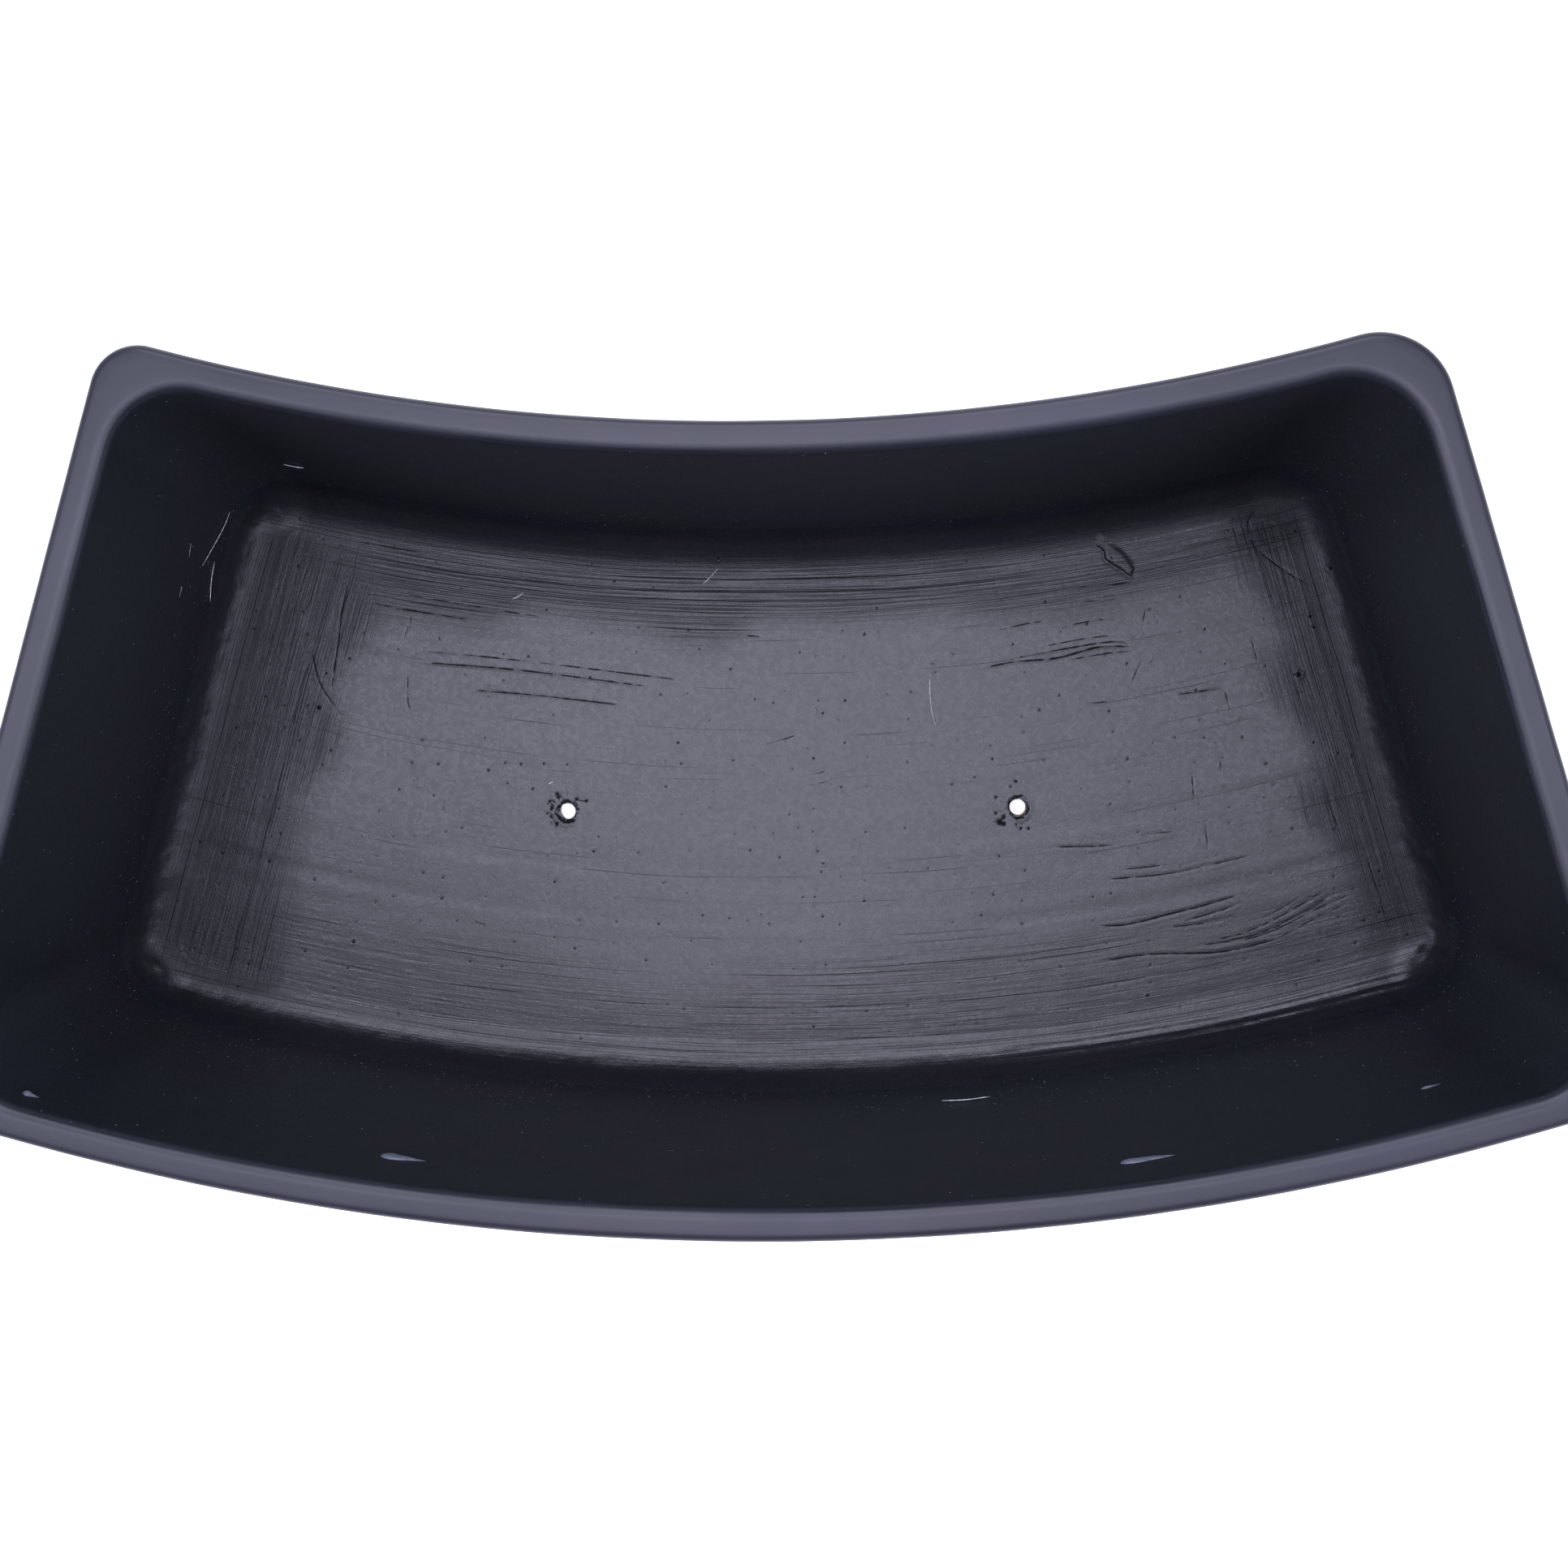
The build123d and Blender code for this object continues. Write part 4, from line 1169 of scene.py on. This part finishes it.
def sealer_material():
    """Brush-applied charcoal sealer: bristle lines along the strokes, fine grain, dust and chipped hole edges;
    hairlines, scratches, pits and pinholes are painted near black as shade in their hollows.
    """
    m = Nodes("brushed_charcoal_sealer")
    obj = m.tc.outputs["Object"]
    bf, bn, be = m.sep(m.attr("bfar", "Vector")), m.sep(m.attr("bnear", "Vector")), m.sep(m.attr("bend", "Vector"))
    recess_shade, chip, rise, dense = m.attr("recess_shade"), m.attr("chip"), m.attr("rise"), m.attr("dense")

    def soft(sep, seed):
        """Soft bristle ridges: s along the stroke, d across it, in millimetres."""
        vec = m.comb(m.math("MULTIPLY_ADD", sep[0], 0.030, seed), m.math("MULTIPLY", sep[1], 0.95), seed)
        a = m.noise(vec, 1.0, 2.0, 0.6, 0.1)
        return m.math("MULTIPLY", m.math("SUBTRACT", a, 0.5), sep[2])

    def hair(sep, seed, pitch, half, lo, hi, wob=0.9, freq=0.010, run=0.020, share=1.0):
        """Hairline grooves pitch mm apart and 2 * half mm wide; each has its own depth and its own runs along the stroke."""
        w = m.noise(m.comb(m.math("MULTIPLY_ADD", sep[0], freq, seed), m.math("MULTIPLY", sep[1], 0.06), seed + 0.7), 1.0, 2.0, 0.5, 0.0)
        q = m.math("ADD", m.math("MULTIPLY_ADD", sep[1], 1.0 / pitch, seed), m.math("MULTIPLY", w, 2.0 * wob / pitch * 2))
        i = m.math("FLOOR", q)
        f = m.math("ABSOLUTE", m.math("SUBTRACT", m.math("FRACT", q), 0.5))
        rn = m.nt.nodes.new("ShaderNodeTexWhiteNoise")
        rn.noise_dimensions = "2D"
        m.link(m.comb(i, seed, 0.0), rn.inputs["Vector"])
        rnd, rnc = rn.outputs["Value"], m.sep(rn.outputs["Color"])
        th = m.math("MULTIPLY_ADD", rnc[1], 1.1 * half / pitch, 0.45 * half / pitch)
        line = m.math("MULTIPLY", m.math("SUBTRACT", th, f), pitch / 0.14, clamp=True)
        gate = m.noise(m.comb(m.math("MULTIPLY_ADD", sep[0], run, m.math("MULTIPLY", rnd, 91.0)), m.math("MULTIPLY", sep[1], 0.10), seed + 4.4), 1.0, 1.0, 0.5, 0.0)
        line = m.math("MULTIPLY", line, m.ramp(gate, lo, hi, 0.0, 1.0))
        if share < 1.0:
            line = m.math("MULTIPLY", line, m.math("LESS_THAN", rnd, share))
        return m.math("MULTIPLY", line, m.math("MULTIPLY_ADD", rnc[2], 0.75, 0.25))

    onfloor = m.ramp(rise, 0.02, 0.30, 1.0, 0.25)
    l = m.math("ADD", m.math("ADD", soft(bf, 1.3), soft(bn, 7.1)), soft(be, 13.7))
    far1 = m.math("MULTIPLY", hair(bf, 2.2, 1.7, 0.20, 0.33, 0.47), m.math("MULTIPLY_ADD", dense, 0.9, 0.1))
    far2 = m.math("MULTIPLY", hair(bf, 9.4, 0.85, 0.13, 0.30, 0.46), m.math("MULTIPLY_ADD", dense, 0.35, 0.65))
    far3 = hair(bf, 19.4, 0.55, 0.09, 0.30, 0.52)
    fh = m.math("MULTIPLY", m.math("MAXIMUM", m.math("MAXIMUM", far1, far2), m.math("MULTIPLY", far3, 0.8)), bf[2])
    near1 = m.math("MULTIPLY", hair(bn, 17.7, 2.3, 0.17, 0.42, 0.56), bn[2])
    near2 = m.math("MULTIPLY", hair(bn, 23.1, 1.0, 0.11, 0.38, 0.56), bn[2])
    near3 = m.math("MULTIPLY", m.math("MULTIPLY", hair(bn, 29.1, 0.60, 0.08, 0.36, 0.58), bn[2]), 0.75)
    end1 = m.math("MULTIPLY", hair(be, 31.9, 1.25, 0.12, 0.28, 0.44, 1.0, 0.014, 0.030), be[2])
    end2 = m.math("MULTIPLY", hair(be, 41.3, 0.70, 0.09, 0.26, 0.44, 0.7, 0.012, 0.026), be[2])
    end3 = m.math("MULTIPLY", hair(be, 47.3, 3.4, 0.14, 0.46, 0.56, 2.4, 0.022, 0.036), be[2])
    open1 = m.math("MULTIPLY", hair(bn, 53.5, 2.6, 0.12, 0.52, 0.62, 1.5, 0.006, 0.016, 0.5), 0.5)
    hairs = m.math("MAXIMUM", m.math("MAXIMUM", fh, m.math("MAXIMUM", m.math("MAXIMUM", near1, near2), near3)),
                   m.math("MAXIMUM", m.math("MAXIMUM", m.math("MAXIMUM", end1, end2), end3), open1))
    hairs = m.math("MULTIPLY", hairs, onfloor)
    # the single scratches, from their signed distance and half width
    cut = None
    for k in range(4):
        c = m.sep(m.attr("line%d" % k, "Vector"))
        inn = m.math("SUBTRACT", c[1], m.math("ABSOLUTE", c[0]))
        q = m.math("MULTIPLY", m.math("MULTIPLY_ADD", inn, 4.0, 0.62, clamp=True), m.ramp(c[1], 0.02, 0.12))
        cut = q if cut is None else m.math("MAXIMUM", cut, q)
    grain = m.noise(obj, 1300.0, 2.0, 0.65)
    grain2 = m.noise(obj, 470.0, 2.0, 0.55)
    mott = m.noise(obj, 190.0, 3.0, 0.6)
    cloud = m.noise(obj, 11.0, 3.0, 0.55)
    col = m.mix(m.ramp(cloud, 0.3, 0.7), COAT_A, COAT_B)
    col = m.mix(m.ramp(grain2, 0.3, 0.7, 0.0, 0.4), col, COAT_C)
    wallish = m.mix(m.ramp(m.noise(obj, 900.0, 2.0, 0.6), 0.35, 0.7), WALL_A, WALL_B)
    col = m.mix(m.ramp(rise, 0.35, 0.85), col, wallish)
    # painted shade: the bristle hairlines are painted near black, as shade in their grooves
    col = m.mix(m.math("MULTIPLY", hairs, 0.9), col, (0.005, 0.005, 0.006))
    # painted shade: pits, hole rings, scuffs and dents darkened as shade in their hollows
    col = m.mix(m.ramp(recess_shade, 0.10, 0.75, 0.0, 0.95), col, (0.005, 0.005, 0.006))
    # painted shade: the scratches and the flake's outline are painted near black, as shade in the furrows and under the
    # lifted edge
    col = m.mix(m.math("MULTIPLY", cut, 0.9), col, (0.005, 0.005, 0.006))
    # pale dust, and pinholes painted dark as shade in their hollows
    cell, pick = m.voronoi(obj, 300.0), m.sep(m.voronoi(obj, 300.0, out="Color"))
    dust = m.math("MULTIPLY", m.math("GREATER_THAN", pick[0], 0.991), m.ramp(cell, 0.03, 0.09, 1.0, 0.0))
    pin = m.math("MULTIPLY", m.math("LESS_THAN", pick[1], 0.12), m.ramp(cell, 0.06, 0.14, 1.0, 0.0))
    col = m.mix(m.math("MULTIPLY", dust, 0.7), col, (0.34, 0.34, 0.36))
    low = m.ramp(rise, 0.55, 0.95)
    cell2, pick2 = m.voronoi(obj, 520.0), m.sep(m.voronoi(obj, 520.0, out="Color"))
    dust2 = m.math("MULTIPLY", m.math("MULTIPLY", m.math("GREATER_THAN", pick2[0], 0.84), m.ramp(cell2, 0.10, 0.24, 1.0, 0.0)), low)
    dust2 = m.math("MULTIPLY", dust2, m.math("POWER", pick2[1], 2.0))
    col = m.mix(m.math("MULTIPLY", dust2, 0.8), col, (0.34, 0.35, 0.36))
    # painted shade: pinholes darkened to near black
    col = m.mix(pin, col, (0.005, 0.005, 0.006))
    col = m.mix(m.ramp(chip, 0.45, 0.85, 0.0, 0.9), col, (0.20, 0.145, 0.085))
    m._in(m.bsdf.inputs["Base Color"], col)
    dark = m.math("MAXIMUM", m.math("MAXIMUM", cut, m.math("MULTIPLY", hairs, 0.9)), m.ramp(recess_shade, 0.1, 0.6))
    rough = m.math("ADD", m.ramp(grain2, 0.25, 0.75, 0.24, 0.31), m.math("MULTIPLY", dark, 0.45))
    rough = m.math("ADD", rough, m.math("MULTIPLY", m.ramp(rise, 0.6, 0.95), 0.10))
    toe = m.math("MULTIPLY", m.math("MULTIPLY", m.ramp(rise, 0.0002, 0.004), m.ramp(rise, 0.05, 0.16, 1.0, 0.35)), m.ramp(be[2], 0.25, 0.5))
    rough = m.math("ADD", rough, m.math("MULTIPLY", toe, 0.24), clamp=True)
    m._in(m.bsdf.inputs["Roughness"], rough)
    # the bottoms of grooves, scratches and pits see little of the light
    dry = m.math("ADD", m.math("MULTIPLY", m.math("MULTIPLY", be[2], onfloor), 0.20), m.math("MULTIPLY", m.math("MULTIPLY", bf[2], onfloor), 0.09))
    m._in(m.bsdf.inputs["Specular IOR Level"], m.math("SUBTRACT", m.math("MULTIPLY_ADD", dark, -0.42, 0.5), dry, clamp=True))
    cove = m.math("MULTIPLY", m.ramp(rise, 0.02, 0.2), 1.0)
    hgt = m.math("ADD", m.math("MULTIPLY", l, 0.85), m.math("MULTIPLY", grain, 0.55))
    hgt = m.math("ADD", hgt, m.math("MULTIPLY", grain2, 0.32))
    hgt = m.math("ADD", hgt, m.math("MULTIPLY", m.math("MULTIPLY_ADD", cove, 0.9, 0.25), mott))
    hgt = m.math("ADD", hgt, m.math("MULTIPLY", dust, 0.5))
    hgt = m.math("SUBTRACT", hgt, m.math("MULTIPLY", m.math("MAXIMUM", hairs, m.math("MAXIMUM", cut, pin)), 0.5))
    m.link(m.bump(hgt, 0.55, 0.00020), m.bsdf.inputs["Normal"])
    return m.mat


def drip_highlight_material():
    m = Nodes("paint_bead_painted_highlight")
    obj = m.tc.outputs["Object"]
    c = m.noise(obj, 300.0, 3.0, 0.6)
    # painted highlight: the beads' base colour is several times paler than the wall paint, standing in for the light
    # their tops catch
    m._in(m.bsdf.inputs["Base Color"], m.mix(m.ramp(c, 0.3, 0.7), (0.085, 0.095, 0.125), (0.12, 0.13, 0.17)))
    m._in(m.bsdf.inputs["Roughness"], m.ramp(c, 0.3, 0.7, 0.32, 0.42))
    m.link(m.bump(m.noise(obj, 900.0, 2.0, 0.5), 0.3, 0.0002), m.bsdf.inputs["Normal"])
    return m.mat


def fibre_material():
    m = Nodes("glass_fibre")
    obj = m.tc.outputs["Object"]
    c = m.noise(obj, 700.0, 2.0, 0.6)
    m._in(m.bsdf.inputs["Base Color"], m.mix(m.ramp(c, 0.35, 0.65), (0.36, 0.38, 0.38), (0.72, 0.74, 0.72)))
    m._in(m.bsdf.inputs["Roughness"], m.ramp(c, 0.3, 0.7, 0.35, 0.5))
    return m.mat


def rubber_material():
    m = Nodes("moulded_rubber")
    obj = m.tc.outputs["Object"]
    c = m.noise(obj, 180.0, 3.0, 0.6)
    m._in(m.bsdf.inputs["Base Color"], m.mix(m.ramp(c, 0.3, 0.7), (0.014, 0.014, 0.015), (0.026, 0.026, 0.027)))
    m._in(m.bsdf.inputs["Roughness"], m.ramp(c, 0.3, 0.7, 0.68, 0.82))
    m.link(m.bump(m.math("ADD", m.noise(obj, 1500.0, 2.0, 0.6), m.math("MULTIPLY", c, 0.6)), 0.4, 0.0003), m.bsdf.inputs["Normal"])
    return m.mat


paint = paint_material()
sealer = sealer_material()
bead = drip_highlight_material()
glass = fibre_material()
rubber = rubber_material()
shell.data.materials.append(paint)
coat.data.materials.append(sealer)
for o in drips:
    o.data.materials.append(bead)
for o in fibres:
    o.data.materials.append(glass)
for name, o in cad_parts.items():
    if name.startswith("foot_pad"):
        for s in o.material_slots:
            s.material = rubber

# ---------------------------------------------------------------------------
# Stage, light and camera
# ---------------------------------------------------------------------------
fl = make_mesh("studio_floor", [[-9000, -9000, 0], [9000, -9000, 0], [9000, 9000, 0], [-9000, 9000, 0]], [[0, 1, 2, 3]])
fm = Nodes("pale_floor")
fm.bsdf.inputs["Base Color"].default_value = (0.92, 0.92, 0.92, 1)
fm.bsdf.inputs["Roughness"].default_value = 0.8
fm.bsdf.inputs["Emission Color"].default_value = (1, 1, 1, 1)
fm.bsdf.inputs["Emission Strength"].default_value = 0.75
fl.data.materials.append(fm.mat)

world = bpy.data.worlds.new("studio")
bpy.context.scene.world = world
world.use_nodes = True
bg = world.node_tree.nodes["Background"]
bg.inputs[0].default_value = (0.74, 0.80, 1.0, 1)
bg.inputs[1].default_value = 0.16


def area(name, loc, aim, size, power, color=(1, 1, 1), size_y=None):
    d = bpy.data.lights.new(name, "AREA")
    d.shape = "RECTANGLE"
    d.size, d.size_y = size, size_y or size
    d.energy = power
    d.color = color
    o = bpy.data.objects.new(name, d)
    o.location = loc
    o.rotation_euler = (Vector(aim) - Vector(loc)).to_track_quat("-Z", "Y").to_euler()
    bpy.context.scene.collection.objects.link(o)
    return o


area("key_overhead", (-0.035, 0.08, 1.35), (-0.035, 0.08, 0.0), 0.45, 10.6, (0.83, 0.80, 1.0), 1.6)
area("rim_left", (-0.80, 0.0, 1.36), (-0.2, 0, 0.1), 0.20, 8.0, (0.78, 0.81, 1.0), 1.3)
area("rim_right", (0.74, 0.0, 1.36), (0.2, 0, 0.1), 0.20, 6.5, (0.78, 0.81, 1.0), 1.3)
area("side_left", (-1.20, -0.45, 0.95), (0.1, 0, 0.05), 1.1, 10.0, (0.78, 0.81, 1.0), 1.4)
area("side_right", (1.20, -0.45, 0.95), (-0.1, 0, 0.05), 1.1, 13.0, (0.78, 0.81, 1.0), 1.4)
area("side_far", (0.0, 1.5, 1.45), (0, 0, 0.05), 1.3, 21, (0.80, 0.83, 1.0), 0.9)

cam_d = bpy.data.cameras.new("camera")
cam_d.sensor_fit = "HORIZONTAL"
cam_d.sensor_width = 36.0
cam_d.lens = 3300.0 * 36.0 / 1932.0
cam_d.clip_start = 0.01
cam = bpy.data.objects.new("camera", cam_d)
bpy.context.scene.collection.objects.link(cam)
R = Matrix.Rotation(-0.03668, 4, "X") @ Matrix.Rotation(0.03426, 4, "Y") @ Matrix.Rotation(-0.00975, 4, "Z")
cam.matrix_world = Matrix.Translation((0.036815, 0.035696, 1.091074)) @ R
bpy.context.scene.camera = cam
bpy.context.scene.view_settings.view_transform = "Standard"

bpy.context.view_layer.update()
